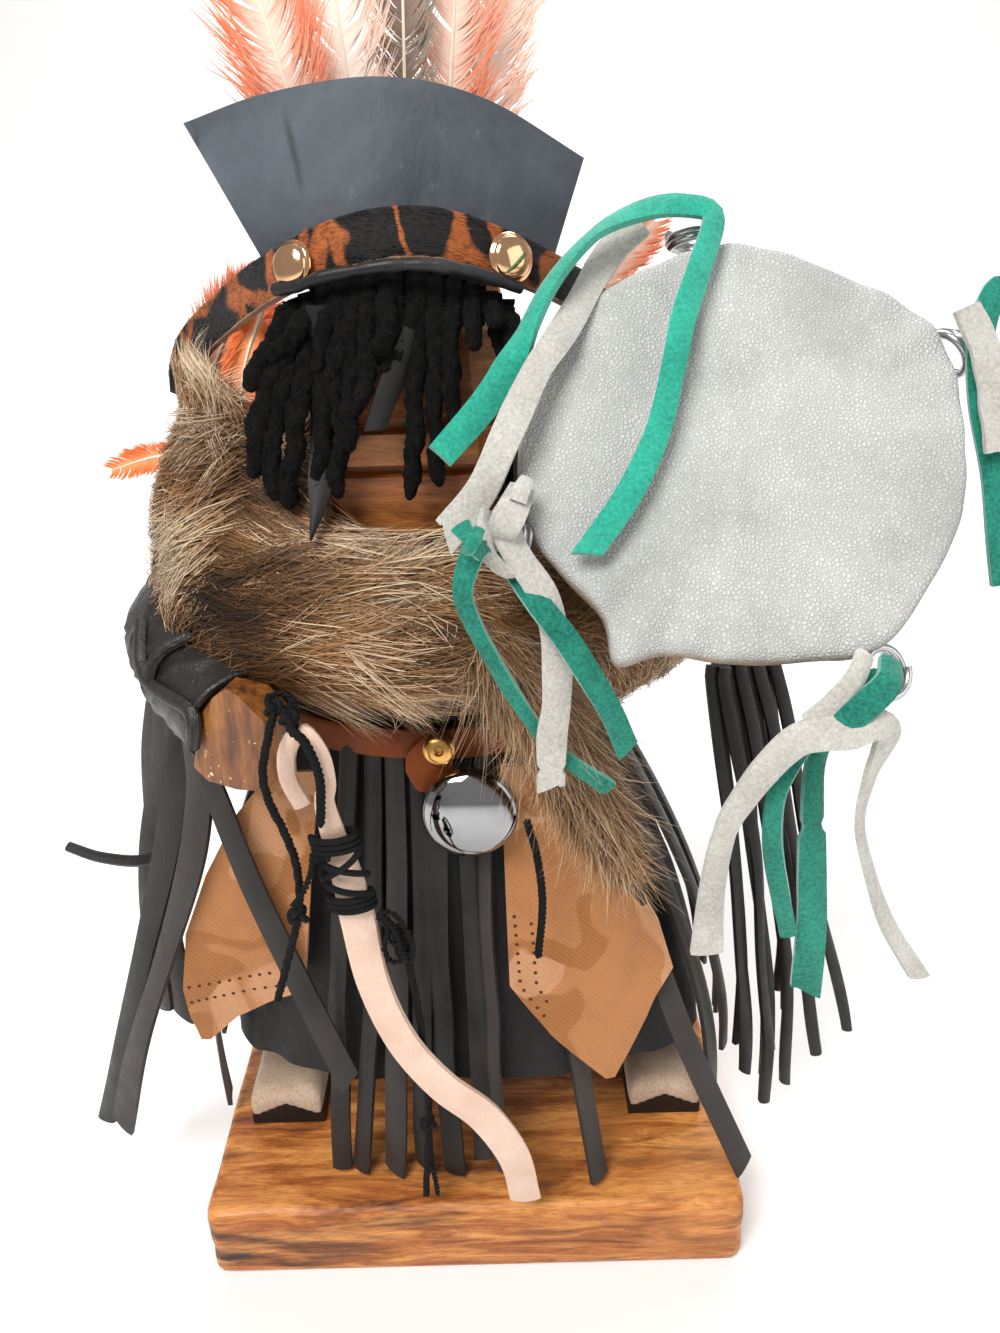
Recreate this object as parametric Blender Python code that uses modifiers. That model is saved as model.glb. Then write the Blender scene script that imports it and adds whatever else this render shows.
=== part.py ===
"""Shaman doll: a dressed, carved wooden figure with a skin drum, standing on a stained board.

Run with: blender --background --python part.py
Sizes are in millimetres. The doll faces -Y, +X is the viewer's right, and the origin is
the middle of the board's underside.
"""

import math

import bmesh
import bpy
from mathutils import Vector

MM = 0.001

# Fits
CLEARANCE = 0.35

# Board
PLINTH_WIDTH = 120.0
PLINTH_DEPTH = 90.0
PLINTH_THICKNESS = 19.0
PLINTH_BEVEL = 2.0

# Boots
BOOT_SPACING = 90.0
BOOT_WIDTH = 17.0
BOOT_LENGTH = 34.0
BOOT_TOE_Y = -20.5
BOOT_FOOT_HEIGHT = 7.5
BOOT_EDGE_ROUND = 2.4
BOOT_SHAFT_RADIUS = 7.6
BOOT_SHAFT_INSET = 12.0
BOOT_SHAFT_LEAN = 0.72
BOOT_TOE_OVERHANG = 0.4
SOLE_SIDE_HEIGHT = 2.6
SOLE_PEAK_HEIGHT = 6.4

# Torso, as half-widths of an ellipse at each height over the board
TUNIC_BOTTOM = 86.0
WAIST_HEIGHT = 105.5
WAIST_HALF_WIDTH = 31.0
WAIST_HALF_DEPTH = 19.0
SHOULDER_HEIGHT = 137.0
SHOULDER_HALF_WIDTH = 30.0
SHOULDER_HALF_DEPTH = 16.0
NECK_RADIUS = 10.0
TORSO_LEAN = 5.0

# Leather thicknesses
SKIRT_LEATHER = 1.4
FRINGE_LEATHER = 1.3
PANEL_CLOTH = 1.0
BELT_LEATHER = 1.6
LACE_LEATHER = 1.1
BAND_HIDE = 1.6
CREST_LEATHER = 1.8

# Skirt
HEM_HEIGHT = 24.0
HEM_HALF_WIDTH = 56.0
HEM_HALF_DEPTH = 30.0
SKIRT_SQUARENESS = 2.7
SKIRT_COLUMNS = 28
SKIRT_ROWS = 4
STRIP_ROWS = 6

# Belt and its fittings
BELT_WIDTH = 6.4
CONCHO_RADIUS = 9.4
CONCHO_DOME = 3.2
CONCHO_RIM = 0.9
BELT_BEAD_RADIUS = 3.3

# Arms
SLEEVE_WALL = 1.6
POCKET_DEPTH = 13.0

# Head
HEAD_BOTTOM = 138.5
HEAD_TOP = 193.0
HEAD_HALF_WIDTH = 17.0
HEAD_BACK_Y = 14.0
HEAD_OFFSET = 1.5
FACE_Y = -21.5
LOC_WIDTH = 2.0
LOC_THICKNESS = 1.8

# Headband and crest
BAND_WIDTH = 7.0
PIPING_RADIUS = 1.2
STUD_RADIUS = 3.4
STUD_DOME = 1.7
STUD_SEAT = 0.4
STUD_RIM = 0.5
STUD_PLACES = (-21.9, 11.4)

# Drum
DRUM_RADIUS = 33.6
DRUM_DEPTH = 9.5
DRUM_TILT = 40.0
DRUM_CENTRE = (46.0, -42.5, 185.5)
DRUM_EDGE_ROUND = 1.6
DRUM_SEGMENTS = 36
RING_RADIUS = 3.7
RING_WIRE = 0.75

# Laces
LACE_WIDTH = 4.2
CORD_RADIUS = 0.85

BOARD_TOP = PLINTH_THICKNESS


def clear_scene():
    for item in list(bpy.data.objects):
        bpy.data.objects.remove(item, do_unlink=True)


def new_collection(name):
    collection = bpy.data.collections.new(name)
    bpy.context.scene.collection.children.link(collection)
    return collection


clear_scene()
DOLL = new_collection("shaman_doll")
CUTTERS = new_collection("cutters")


def material(name, colour, roughness, metallic=0.0):
    made = bpy.data.materials.new(name)
    made.use_nodes = True
    shader = made.node_tree.nodes["Principled BSDF"]
    shader.inputs["Base Color"].default_value = (*colour, 1.0)
    shader.inputs["Roughness"].default_value = roughness
    shader.inputs["Metallic"].default_value = metallic
    made.diffuse_color = (*colour, 1.0)
    return made


WOOD_STAIN = (0.42, 0.19, 0.07)
DARK_LEATHER = (0.062, 0.056, 0.054)
BLACK_LEATHER = (0.018, 0.016, 0.016)
SUEDE_CREAM = (0.62, 0.47, 0.36)
SUEDE_WHITE = (0.60, 0.58, 0.53)
TEAL = (0.04, 0.42, 0.31)
BRASS = (0.78, 0.52, 0.25)
STEEL = (0.55, 0.55, 0.55)


def scaled(points):
    return [Vector(point) * MM for point in points]


def move_to(item, collection):
    for owner in list(item.users_collection):
        owner.objects.unlink(item)
    collection.objects.link(item)


def add_object(name, mesh, finish, collection=DOLL):
    item = bpy.data.objects.new(name, mesh)
    collection.objects.link(item)
    if finish is not None:
        item.data.materials.append(finish)
    return item


def mesh_object(name, points, faces, finish, collection=DOLL, smooth_angle=40.0):
    """Make an object from points in millimetres and its faces."""
    mesh = bpy.data.meshes.new(name)
    mesh.from_pydata(scaled(points), [], faces)
    mesh.update()
    mesh.shade_smooth()
    mesh.set_sharp_from_angle(angle=math.radians(smooth_angle))
    return add_object(name, mesh, finish, collection)


def solidify(item, thickness):
    shell = item.modifiers.new("thickness", "SOLIDIFY")
    shell.thickness = thickness * MM
    shell.offset = 0.0
    shell.use_even_offset = False
    return item


def bevel(item, width, segments=2):
    edge = item.modifiers.new("rounded edges", "BEVEL")
    edge.width = width * MM
    edge.segments = segments
    edge.limit_method = "ANGLE"
    edge.angle_limit = math.radians(30.0)


def boolean(item, other, operation):
    cut = item.modifiers.new(operation.lower() + " " + other.name, "BOOLEAN")
    cut.object = other
    cut.operation = operation
    cut.solver = "EXACT"


def as_cutter(item):
    move_to(item, CUTTERS)
    item.hide_render = True
    item.display_type = "WIRE"
    return item


def grown_copy(item, margin):
    """A cutter that is the finished item, grown outward by a margin on every side."""
    depsgraph = bpy.context.evaluated_depsgraph_get()
    depsgraph.update()
    mesh = bpy.data.meshes.new_from_object(item.evaluated_get(depsgraph))
    mesh.transform(item.matrix_world)
    grown = bmesh.new()
    grown.from_mesh(mesh)
    bmesh.ops.remove_doubles(grown, verts=grown.verts, dist=0.00005)
    grown.normal_update()
    offsets = [(vertex, vertex.normal * vertex.calc_shell_factor()) for vertex in grown.verts]
    for vertex, offset in offsets:
        vertex.co += offset * margin * MM
    grown.to_mesh(mesh)
    grown.free()
    return as_cutter(add_object("room for " + item.name, mesh, None))


def cut_clear(item, others, margin=CLEARANCE):
    for other in others:
        boolean(item, grown_copy(other, margin), "DIFFERENCE")
    return item


def smooth_path(controls, count):
    """Read a number of evenly spaced points from a smooth curve through the controls."""
    points = [Vector(control) for control in controls]
    if len(points) == 2:
        dense = [points[0].lerp(points[1], step / 20.0) for step in range(21)]
    else:
        before = points[0] * 2.0 - points[1]
        after = points[-1] * 2.0 - points[-2]
        run = [before] + points + [after]
        dense = []
        for index in range(1, len(run) - 2):
            p0, p1, p2, p3 = run[index - 1:index + 3]
            for step in range(20):
                t = step / 20.0
                dense.append(0.5 * (2.0 * p1 + (p2 - p0) * t
                                    + (2.0 * p0 - 5.0 * p1 + 4.0 * p2 - p3) * t * t
                                    + (3.0 * p1 - p0 - 3.0 * p2 + p3) * t * t * t))
        dense.append(points[-1])
    lengths = [0.0]
    for first, second in zip(dense, dense[1:]):
        lengths.append(lengths[-1] + (second - first).length)
    samples = []
    position = 0
    for step in range(count):
        target = lengths[-1] * step / (count - 1)
        while position < len(dense) - 2 and lengths[position + 1] < target:
            position += 1
        span = lengths[position + 1] - lengths[position]
        share = (target - lengths[position]) / span if span else 0.0
        samples.append(dense[position].lerp(dense[position + 1], min(share, 1.0)))
    return samples


def tangents(path):
    last = len(path) - 1
    return [(path[min(index + 1, last)] - path[max(index - 1, 0)]).normalized()
            for index in range(len(path))]


def strip_edges(path, width, facing):
    """The left and right edge points of a flat strip whose face looks along facing."""
    left, right = [], []
    for index, (point, along) in enumerate(zip(path, tangents(path))):
        share = index / (len(path) - 1)
        half = 0.5 * (width(share) if callable(width) else width)
        face = facing(share) if callable(facing) else facing
        across = along.cross(Vector(face)).normalized()
        left.append(point - across * half)
        right.append(point + across * half)
    return left, right


def ribbon(name, controls, width, thickness, finish, facing=(0.0, -1.0, 0.2), rows=9):
    """A flat strip of leather along a path."""
    left, right = strip_edges(smooth_path(controls, rows), width, facing)
    faces = [(row, row + 1, rows + row + 1, rows + row) for row in range(rows - 1)]
    return solidify(mesh_object(name, left + right, faces, finish), thickness)


def comb(name, strips, band_height, thickness, finish, rows=7):
    """Strips cut from one piece of leather, joined by the uncut band over them.

    Each strip is its control points, its width and the way its face looks. Seen from that
    side, the strips are listed from right to left.
    """
    points, faces, tops = [], [], []
    for controls, width, facing in strips:
        left, right = strip_edges(smooth_path(controls, rows), width, facing)
        lift = Vector((0.0, 0.0, band_height))
        left = [left[0] + lift] + left
        right = [right[0] + lift] + right
        start = len(points)
        points += left + right
        total = rows + 1
        faces += [(start + row, start + row + 1, start + total + row + 1, start + total + row)
                  for row in range(total - 1)]
        tops.append((start, start + 1, start + total + 1, start + total))
    for first, second in zip(tops, tops[1:]):
        faces.append((first[3], first[2], second[1], second[0]))
    return solidify(mesh_object(name, points, faces, finish), thickness)


def tube(name, controls, radius, finish, count=24):
    """A cord along a path, as a curve with filled caps."""
    curve = bpy.data.curves.new(name, "CURVE")
    curve.dimensions = "3D"
    curve.bevel_depth = radius * MM
    curve.bevel_resolution = 2
    curve.use_fill_caps = True
    spline = curve.splines.new("POLY")
    path = smooth_path(controls, count)
    spline.points.add(count - 1)
    for place, point in zip(spline.points, path):
        place.co = (*(point * MM), 1.0)
    item = bpy.data.objects.new(name, curve)
    DOLL.objects.link(item)
    curve.materials.append(finish)
    return item


def loft(name, rings, finish, smooth_angle=40.0):
    """A closed solid through rings of equally many points, listed from the bottom up."""
    size = len(rings[0])
    points = [point for ring in rings for point in ring]
    faces = [tuple(reversed(range(size)))]
    for level in range(len(rings) - 1):
        low, high = level * size, (level + 1) * size
        for side in range(size):
            follow = (side + 1) % size
            faces.append((low + side, low + follow, high + follow, high + side))
    faces.append(tuple(range(len(points) - size, len(points))))
    return mesh_object(name, points, faces, finish, smooth_angle=smooth_angle)


def ellipse_ring(centre, half_width, half_depth, segments=24, squareness=2.0):
    ring = []
    for side in range(segments):
        angle = math.tau * side / segments
        c, s = math.cos(angle), math.sin(angle)
        power = 2.0 / squareness
        x = math.copysign(abs(c) ** power, c) * half_width
        y = math.copysign(abs(s) ** power, s) * half_depth
        ring.append(Vector(centre) + Vector((x, y, 0.0)))
    return ring


def ring_across(centre, along, radius, segments, turn=0.0):
    """A circle of points around a path, square to the direction along it."""
    side = along.cross(Vector((0.0, 0.0, 1.0)))
    if side.length < 0.05:
        side = along.cross(Vector((1.0, 0.0, 0.0)))
    side.normalize()
    rise = side.cross(along)
    ring = []
    for index in range(segments):
        angle = math.tau * (index + turn) / segments
        ring.append(centre + (side * math.cos(angle) - rise * math.sin(angle)) * radius)
    return ring


def lean(height):
    """How far the torso's middle stands to the viewer's left at a height over the board."""
    return -TORSO_LEAN * max(height, 0.0) / SHOULDER_HEIGHT


def waist_layer(offset):
    """Half-width and half-depth of the waist with an offset for what is worn under a layer."""
    return WAIST_HALF_WIDTH + offset, WAIST_HALF_DEPTH + offset


# The pelt reaches from over the belt's fittings to the chin
FUR_LOW = WAIST_HEIGHT + 12.5
FUR_HIGH = SHOULDER_HEIGHT + 28.0
BELT_LOW = WAIST_HEIGHT - BELT_WIDTH / 2.0
BELT_HIGH = WAIST_HEIGHT + BELT_WIDTH / 2.0
SKIRT_OFFSET = CLEARANCE + SKIRT_LEATHER / 2.0
OVERSKIRT_OFFSET = SKIRT_OFFSET + SKIRT_LEATHER / 2.0 + CLEARANCE + FRINGE_LEATHER / 2.0
PANEL_OFFSET = OVERSKIRT_OFFSET + FRINGE_LEATHER / 2.0 + 2.0 * CLEARANCE + PANEL_CLOTH / 2.0
BELT_OFFSET = OVERSKIRT_OFFSET + FRINGE_LEATHER / 2.0 + CLEARANCE + BELT_LEATHER / 2.0


def skirt_middle(height):
    """The sideways place of the skirt's middle: under the belt it hangs straight."""
    return lean(height) if height < BELT_LOW - 0.01 else lean(WAIST_HEIGHT)


def skirt_profile(height):
    """Half-width and half-depth of the skirt's middle surface at a height over the board."""
    top_width, top_depth = waist_layer(SKIRT_OFFSET)
    drop = max(0.0, min(1.0, (BELT_LOW - height) / (BELT_LOW - HEM_HEIGHT)))
    spread = math.sin(drop * math.pi / 2.0) * 0.75 + drop * 0.25
    return (top_width + (HEM_HALF_WIDTH - top_width) * spread,
            top_depth + (HEM_HALF_DEPTH - top_depth) * drop)


def skirt_front(x, height, offset=0.0):
    """The y of a layer on the front of the skirt, at a sideways place and a height."""
    half_width, half_depth = skirt_profile(height)
    place = min(abs(x - lean(height)) / (half_width + offset), 0.97)
    return -(half_depth + offset) * (1.0 - place ** SKIRT_SQUARENESS) ** (1.0 / SKIRT_SQUARENESS)


def build_plinth():
    bpy.ops.mesh.primitive_cube_add(size=1.0, location=(0.0, 0.0, PLINTH_THICKNESS / 2.0 * MM))
    board = bpy.context.object
    board.name = "plinth"
    board.dimensions = (PLINTH_WIDTH * MM, PLINTH_DEPTH * MM, PLINTH_THICKNESS * MM)
    bpy.ops.object.transform_apply(location=False, rotation=False, scale=True)
    move_to(board, DOLL)
    board.data.materials.append(material("stained board", (0.45, 0.20, 0.07), 0.55))
    bevel(board, PLINTH_BEVEL)


def build_foot(side, x):
    """A black sole that peaks along its middle, with a suede boot drawn over it."""
    half = BOOT_WIDTH / 2.0
    front, back = BOOT_TOE_Y, BOOT_TOE_Y + BOOT_LENGTH
    low = BOARD_TOP + CLEARANCE
    section = [(-half, 0.0), (half, 0.0), (half, SOLE_SIDE_HEIGHT), (0.0, SOLE_PEAK_HEIGHT),
               (-half, SOLE_SIDE_HEIGHT)]
    rings = [[Vector((x + across, y, low + height)) for across, height in section]
             for y in (back, front)]
    sole = loft("sole_" + side, rings, material("sole " + side, (0.016, 0.012, 0.010), 0.5))

    bottom = low + SOLE_SIDE_HEIGHT
    top = low + SOLE_PEAK_HEIGHT + BOOT_FOOT_HEIGHT / 2.0
    inset = BOOT_EDGE_ROUND
    rings = []
    for height, shrink in ((bottom - inset, 0.0), (top - inset, 0.0), (top - inset * 0.4, inset * 0.4),
                           (top, inset)):
        rings.append([Vector((x - half + shrink, front + shrink - BOOT_TOE_OVERHANG, height)),
                      Vector((x + half - shrink, front + shrink - BOOT_TOE_OVERHANG, height)),
                      Vector((x + half - shrink, back - shrink, height)),
                      Vector((x - half + shrink, back - shrink, height))])
    boot = loft("boot_" + side, rings, material("boot " + side, SUEDE_CREAM, 0.9))
    shaft_y = front + BOOT_SHAFT_INSET + BOOT_SHAFT_RADIUS
    shaft = loft("shaft for boot " + side,
                 [ellipse_ring((x, shaft_y, top - 1.0), BOOT_SHAFT_RADIUS, BOOT_SHAFT_RADIUS, 12),
                  ellipse_ring((x * (1.0 - BOOT_SHAFT_LEAN), 0.0, BOARD_TOP + TUNIC_BOTTOM - CLEARANCE),
                               BOOT_SHAFT_RADIUS, BOOT_SHAFT_RADIUS, 12)], None)
    as_cutter(shaft)
    boolean(boot, shaft, "UNION")
    cut_clear(boot, [sole])


def build_tunic():
    sections = [
        (TUNIC_BOTTOM, WAIST_HALF_WIDTH * 0.94, WAIST_HALF_DEPTH * 0.94),
        (WAIST_HEIGHT - 6.0, WAIST_HALF_WIDTH, WAIST_HALF_DEPTH),
        (WAIST_HEIGHT + 4.0, WAIST_HALF_WIDTH, WAIST_HALF_DEPTH),
        (SHOULDER_HEIGHT - 12.0, SHOULDER_HALF_WIDTH + 2.0, SHOULDER_HALF_DEPTH + 2.0),
        (SHOULDER_HEIGHT - 4.0, SHOULDER_HALF_WIDTH, SHOULDER_HALF_DEPTH),
        (SHOULDER_HEIGHT, SHOULDER_HALF_WIDTH * 0.72, SHOULDER_HALF_DEPTH * 0.8),
        (HEAD_BOTTOM - CLEARANCE, NECK_RADIUS, NECK_RADIUS),
    ]
    rings = [ellipse_ring((lean(height), 0.0, BOARD_TOP + height), half_width, half_depth)
             for height, half_width, half_depth in sections]
    return loft("tunic", rings, material("tunic leather", DARK_LEATHER, 0.6))


def build_skirt():
    heights = [BELT_HIGH]
    heights += [BELT_LOW + (HEM_HEIGHT - BELT_LOW) * row / SKIRT_ROWS for row in range(SKIRT_ROWS + 1)]
    points, faces = [], []
    for height in heights:
        half_width, half_depth = skirt_profile(height)
        share = max(0.0, min(1.0, (BELT_LOW - height) / (BELT_LOW - HEM_HEIGHT)))
        points += ellipse_ring((skirt_middle(height), 0.0, BOARD_TOP + height), half_width, half_depth,
                               SKIRT_COLUMNS, 2.0 + (SKIRT_SQUARENESS - 2.0) * share)
    for row in range(len(heights) - 1):
        for column in range(SKIRT_COLUMNS):
            follow = (column + 1) % SKIRT_COLUMNS
            low, high = row * SKIRT_COLUMNS, (row + 1) * SKIRT_COLUMNS
            faces.append((low + column, high + column, high + follow, low + follow))
    skirt = mesh_object("skirt", points, faces, material("skirt leather", DARK_LEATHER, 0.6))
    return solidify(skirt, SKIRT_LEATHER)


def hanging(x_top, x_low, low, forward):
    """Control points of a strip that hangs down the front of the skirt from the belt."""
    offset = OVERSKIRT_OFFSET - SKIRT_OFFSET
    heights = [BELT_LOW, 80.0, 55.0, 32.0, low]
    span = heights[0] - low
    controls = []
    for height in heights:
        if height < low:
            continue
        share = (heights[0] - height) / span
        x = x_top + (x_low - x_top) * share
        y = skirt_front(x, max(height, HEM_HEIGHT), offset) - forward * share
        y -= FLARE_SLACK * min(1.0, 3.0 * share)
        controls.append((x, y, BOARD_TOP + height))
    return controls


def waist_angle(x):
    """The angle on the waist's front at which the layer of fringe stands at a sideways place."""
    half_width, _ = waist_layer(OVERSKIRT_OFFSET)
    return -math.degrees(math.acos((x - lean(WAIST_HEIGHT)) / half_width))


def waist_point(angle, height):
    half_width, half_depth = waist_layer(OVERSKIRT_OFFSET)
    turn = math.radians(angle)
    return Vector((lean(WAIST_HEIGHT) + half_width * math.cos(turn), half_depth * math.sin(turn),
                   BOARD_TOP + height))


def around_skirt(angle, low, out):
    """Control points of a strip that hangs round the side or back of the skirt from the belt."""
    turn = math.radians(angle)
    offset = OVERSKIRT_OFFSET - SKIRT_OFFSET
    controls = []
    for step in range(6):
        drop = (BELT_LOW - low) / BELT_LOW * step / 5.0
        height = BELT_LOW * (1.0 - drop)
        half_width, half_depth = skirt_profile(max(height, HEM_HEIGHT))
        power = 2.0 / (2.0 + (SKIRT_SQUARENESS - 2.0) * min(1.0, drop * 1.3))
        c, s = math.cos(turn), math.sin(turn)
        grow = offset + out * math.sqrt(drop) + (FLARE_SLACK if step else 0.0)
        controls.append((math.copysign(abs(c) ** power, c) * (half_width + grow) + skirt_middle(height),
                         math.copysign(abs(s) ** power, s) * (half_depth + grow), BOARD_TOP + height))
    return controls


# Strips over the front: sideways place at the belt and at the tip, height of the tip, width,
# and how far forward of the skirt the tip hangs
FRONT_STRIPS = ((-21.5, -31.0, 1.6, 4.0, 4.0), (-16.9, -25.5, 1.8, 3.6, 4.0), (-12.6, -18.0, 2.0, 4.0, 4.0),
                (-8.2, -12.0, 4.0, 3.6, 4.0), (-3.9, -5.0, 1.6, 4.0, 4.0), (0.4, 0.8, 6.0, 3.4, 4.0),
                (4.6, 6.2, 1.8, 3.2, 4.0))
# The strip behind the right panel, and how far its tip lies out over the board
PANEL_STRIP = (17.0, 27.0, 1.8, 4.4, 0.4)
PANEL_STRIP_FLICK = 8.0
# The long strip that comes out from behind the right panel: x, y and height of its points
LONG_STRIP_TOP = 24.6
LONG_STRIP = ((31.0, -22.4, 81.0), (41.0, -23.6, 49.0), (48.0, -29.4, 30.0), (60.5, -37.0, 1.8))
LONG_STRIP_WIDTH = 4.6
# Strips round the sides: angle from the doll's left side, height of the tip
SIDE_STRIPS = ((-30.0, 7.0), (-14.0, 14.0), (2.0, 10.0), (16.0, 17.0), (166.0, 20.0), (182.0, 14.0),
               (200.0, 4.0))
PANEL_LEAN = 2.6
BACK_STRIPS = 9
FLARE_SLACK = 0.7
BACK_TIPS = (9.0, 3.0, 11.0, 5.0, 14.0)
FRINGE_WIDTH = 4.2


def build_skirt_fringe():
    """One waistband of leather, cut below into hanging strips all round."""
    strips = []
    for x_top, x_low, low, width, forward in FRONT_STRIPS:
        strips.append((waist_angle(x_top), hanging(x_top, x_low, low, forward), width))
    x_top, x_low, low, width, forward = PANEL_STRIP
    controls = hanging(x_top, x_low, low, forward)
    x, y, z = controls.pop()
    controls += [(x, y - PANEL_STRIP_FLICK * 0.45, z + 13.0), (x, y - PANEL_STRIP_FLICK, z)]
    strips.append((waist_angle(x_top), controls, width))
    long_strip = [tuple(waist_point(waist_angle(LONG_STRIP_TOP), BELT_LOW))]
    long_strip += [(x, y, BOARD_TOP + height) for x, y, height in LONG_STRIP]
    strips.append((waist_angle(LONG_STRIP_TOP), long_strip, LONG_STRIP_WIDTH))
    for angle, low in SIDE_STRIPS:
        strips.append((angle, around_skirt(angle, low, 4.0), FRINGE_WIDTH))
    for index in range(BACK_STRIPS):
        angle = 32.0 + 14.6 * index
        low = BACK_TIPS[index % len(BACK_TIPS)]
        strips.append((angle, around_skirt(angle, low, 4.0), FRINGE_WIDTH))
    strips = sorted(((angle % 360.0, controls, width) for angle, controls, width in strips),
                    key=lambda strip: strip[0])
    high, low = BELT_HIGH, BELT_LOW
    rows = STRIP_ROWS
    points, faces, edges = [], [], []

    def band_post(angle):
        points.extend([waist_point(angle, high), waist_point(angle, low)])
        return len(points) - 2

    for angle, controls, width in strips:
        near = (waist_point(angle + 0.5, low) - waist_point(angle - 0.5, low)).length
        half = width / near / 2.0
        first, second = band_post(angle - half), band_post(angle + half)
        faces.append((first, first + 1, second + 1, second))
        across = (points[second + 1] - points[first + 1]).normalized()
        path = smooth_path(controls, rows)
        start = len(points)
        for point in path[1:]:
            points.extend([point - across * width / 2.0, point + across * width / 2.0])
        faces.append((first + 1, start, start + 1, second + 1))
        faces.extend((start + 2 * row, start + 2 * row + 2, start + 2 * row + 3, start + 2 * row + 1)
                     for row in range(rows - 2))
        edges.append((angle, half, first, second))
    for index, (angle, half, _, second) in enumerate(edges):
        next_angle, next_half, next_first, _ = edges[(index + 1) % len(edges)]
        begin = angle + half
        end = next_angle - next_half + (360.0 if index == len(edges) - 1 else 0.0)
        pieces = max(1, math.ceil((end - begin) / 9.0))
        last = second
        for piece in range(1, pieces + 1):
            post = next_first if piece == pieces else band_post(begin + (end - begin) * piece / pieces)
            faces.append((last, last + 1, post + 1, post))
            last = post
    fringe = mesh_object("skirt_fringe", points, faces, material("fringe leather", DARK_LEATHER, 0.62))
    return solidify(fringe, FRINGE_LEATHER)


def build_panel(side, outline_rows, lean_out):
    """A cloth panel with a pointed end, hung from the belt over the front of the skirt."""
    columns = 6
    points, faces = [], []
    for row, (height, left, right) in enumerate(outline_rows):
        for column in range(columns):
            x = left + (right - left) * column / (columns - 1)
            y = skirt_front(x, max(height, HEM_HEIGHT), PANEL_OFFSET - SKIRT_OFFSET)
            y = min(y, -lean_out) - PANEL_LEAN * row / (len(outline_rows) - 1)
            points.append((x, y, BOARD_TOP + height))
    for row in range(len(outline_rows) - 1):
        for column in range(columns - 1):
            low = row * columns + column
            faces.append((low, low + columns, low + columns + 1, low + 1))
    cloth = material("panel cloth " + side, (0.50, 0.30, 0.17), 0.9)
    return solidify(mesh_object("panel_" + side, points, faces, cloth), PANEL_CLOTH)


def build_panels():
    top = BELT_LOW - FRINGE_LEATHER / 2.0 - CLEARANCE
    build_panel("left", ((top, -36.0, -26.4), (92.0, -44.0, -28.4), (78.0, -52.0, -30.6),
                         (64.0, -58.0, -32.6), (50.0, -60.5, -34.5), (42.0, -60.0, -50.0),
                         (36.0, -58.6, -56.6)), 25.5)
    build_panel("right", ((top, 8.0, 22.0), (92.0, 8.2, 27.0), (78.0, 8.4, 33.0),
                          (64.0, 8.6, 40.0), (52.0, 8.8, 43.5), (40.0, 17.0, 38.0),
                          (27.0, 29.0, 31.0)), 25.5)


def build_cross_strap():
    """The long strap that runs across the left panel."""
    controls = [(-46.0, -30.0, 117.0), (-41.6, -31.0, 97.0), (-34.3, -33.5, 74.0), (-25.6, -38.0, 51.0)]
    ribbon("cross_strap", controls, 4.6, FRINGE_LEATHER,
           material("cross strap leather", BLACK_LEATHER, 0.5))


def belt_place(x, out=0.0):
    """A point on the belt's middle surface in front, moved outward by a distance."""
    half_width, half_depth = waist_layer(BELT_OFFSET)
    middle = lean(WAIST_HEIGHT)
    share = (x - middle) / half_width
    return Vector((x, -half_depth * math.sqrt(1.0 - share * share) - out, BOARD_TOP + WAIST_HEIGHT))


def build_belt():
    half_width, half_depth = waist_layer(BELT_OFFSET)
    segments = 28
    points, faces = [], []
    for height in (BELT_HIGH, BELT_LOW):
        points += ellipse_ring((lean(WAIST_HEIGHT), 0.0, BOARD_TOP + height), half_width, half_depth, segments)
    for column in range(segments):
        follow = (column + 1) % segments
        faces.append((column, segments + column, segments + follow, follow))
    belt = mesh_object("belt", points, faces, material("belt leather", (0.42, 0.15, 0.03), 0.45))
    solidify(belt, BELT_LEATHER)

    tab_top = belt_place(-2.5, BELT_LEATHER + CLEARANCE)
    ribbon("belt_tab", [tab_top + Vector((2.0, 0.0, 2.2)), tab_top + Vector((-0.6, -0.4, -3.0)),
                        tab_top + Vector((-2.2, -0.6, -8.6))],
           lambda share: 7.4 * (1.0 - max(0.0, share - 0.45) / 0.62), BELT_LEATHER,
           material("belt tab leather", (0.36, 0.12, 0.03), 0.45), rows=7)
    bead = belt_place(-3.6, BELT_LEATHER * 1.5 + CLEARANCE * 2.0 + 0.5)
    dome("belt_bead", bead + Vector((1.6, 0.0, -0.2)), Vector((0.0, -1.0, 0.25)), BELT_BEAD_RADIUS,
         BELT_BEAD_RADIUS * 0.8, 0.3, material("bead brass", BRASS, 0.2, 1.0))


def dome(name, base, direction, radius, height, rim, finish, segments=12):
    """A domed disc: a spherical cap on a thin rim, its flat back at the base point."""
    along = direction.normalized()
    steps = 4
    rings = [ring_across(base, along, radius, segments),
             ring_across(base + along * rim, along, radius, segments)]
    for step in range(1, steps):
        angle = math.pi / 2.0 * step / steps
        rings.append(ring_across(base + along * (rim + height * math.sin(angle)), along,
                                 radius * math.cos(angle), segments))
    rings.append(ring_across(base + along * (rim + height), along, radius * 0.04, segments))
    return loft(name, rings, finish)


def build_concho():
    steel = material("concho chrome", (0.85, 0.85, 0.85), 0.06, 1.0)
    base = Vector((2.0, -27.6, BOARD_TOP + WAIST_HEIGHT - 12.0))
    facing = Vector((0.0, -1.0, 0.12))
    dome("concho", base + facing * 2.2, facing, CONCHO_RADIUS, CONCHO_DOME, CONCHO_RIM, steel, 16)
    cord = material("concho cord", BLACK_LEATHER, 0.8)
    tube("concho_cord", [(12.8, -31.6, 111.6), (14.6, -33.4, 105.0), (15.6, -35.4, 95.0),
                         (14.6, -37.0, 83.0)], CORD_RADIUS, cord, 8)


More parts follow.
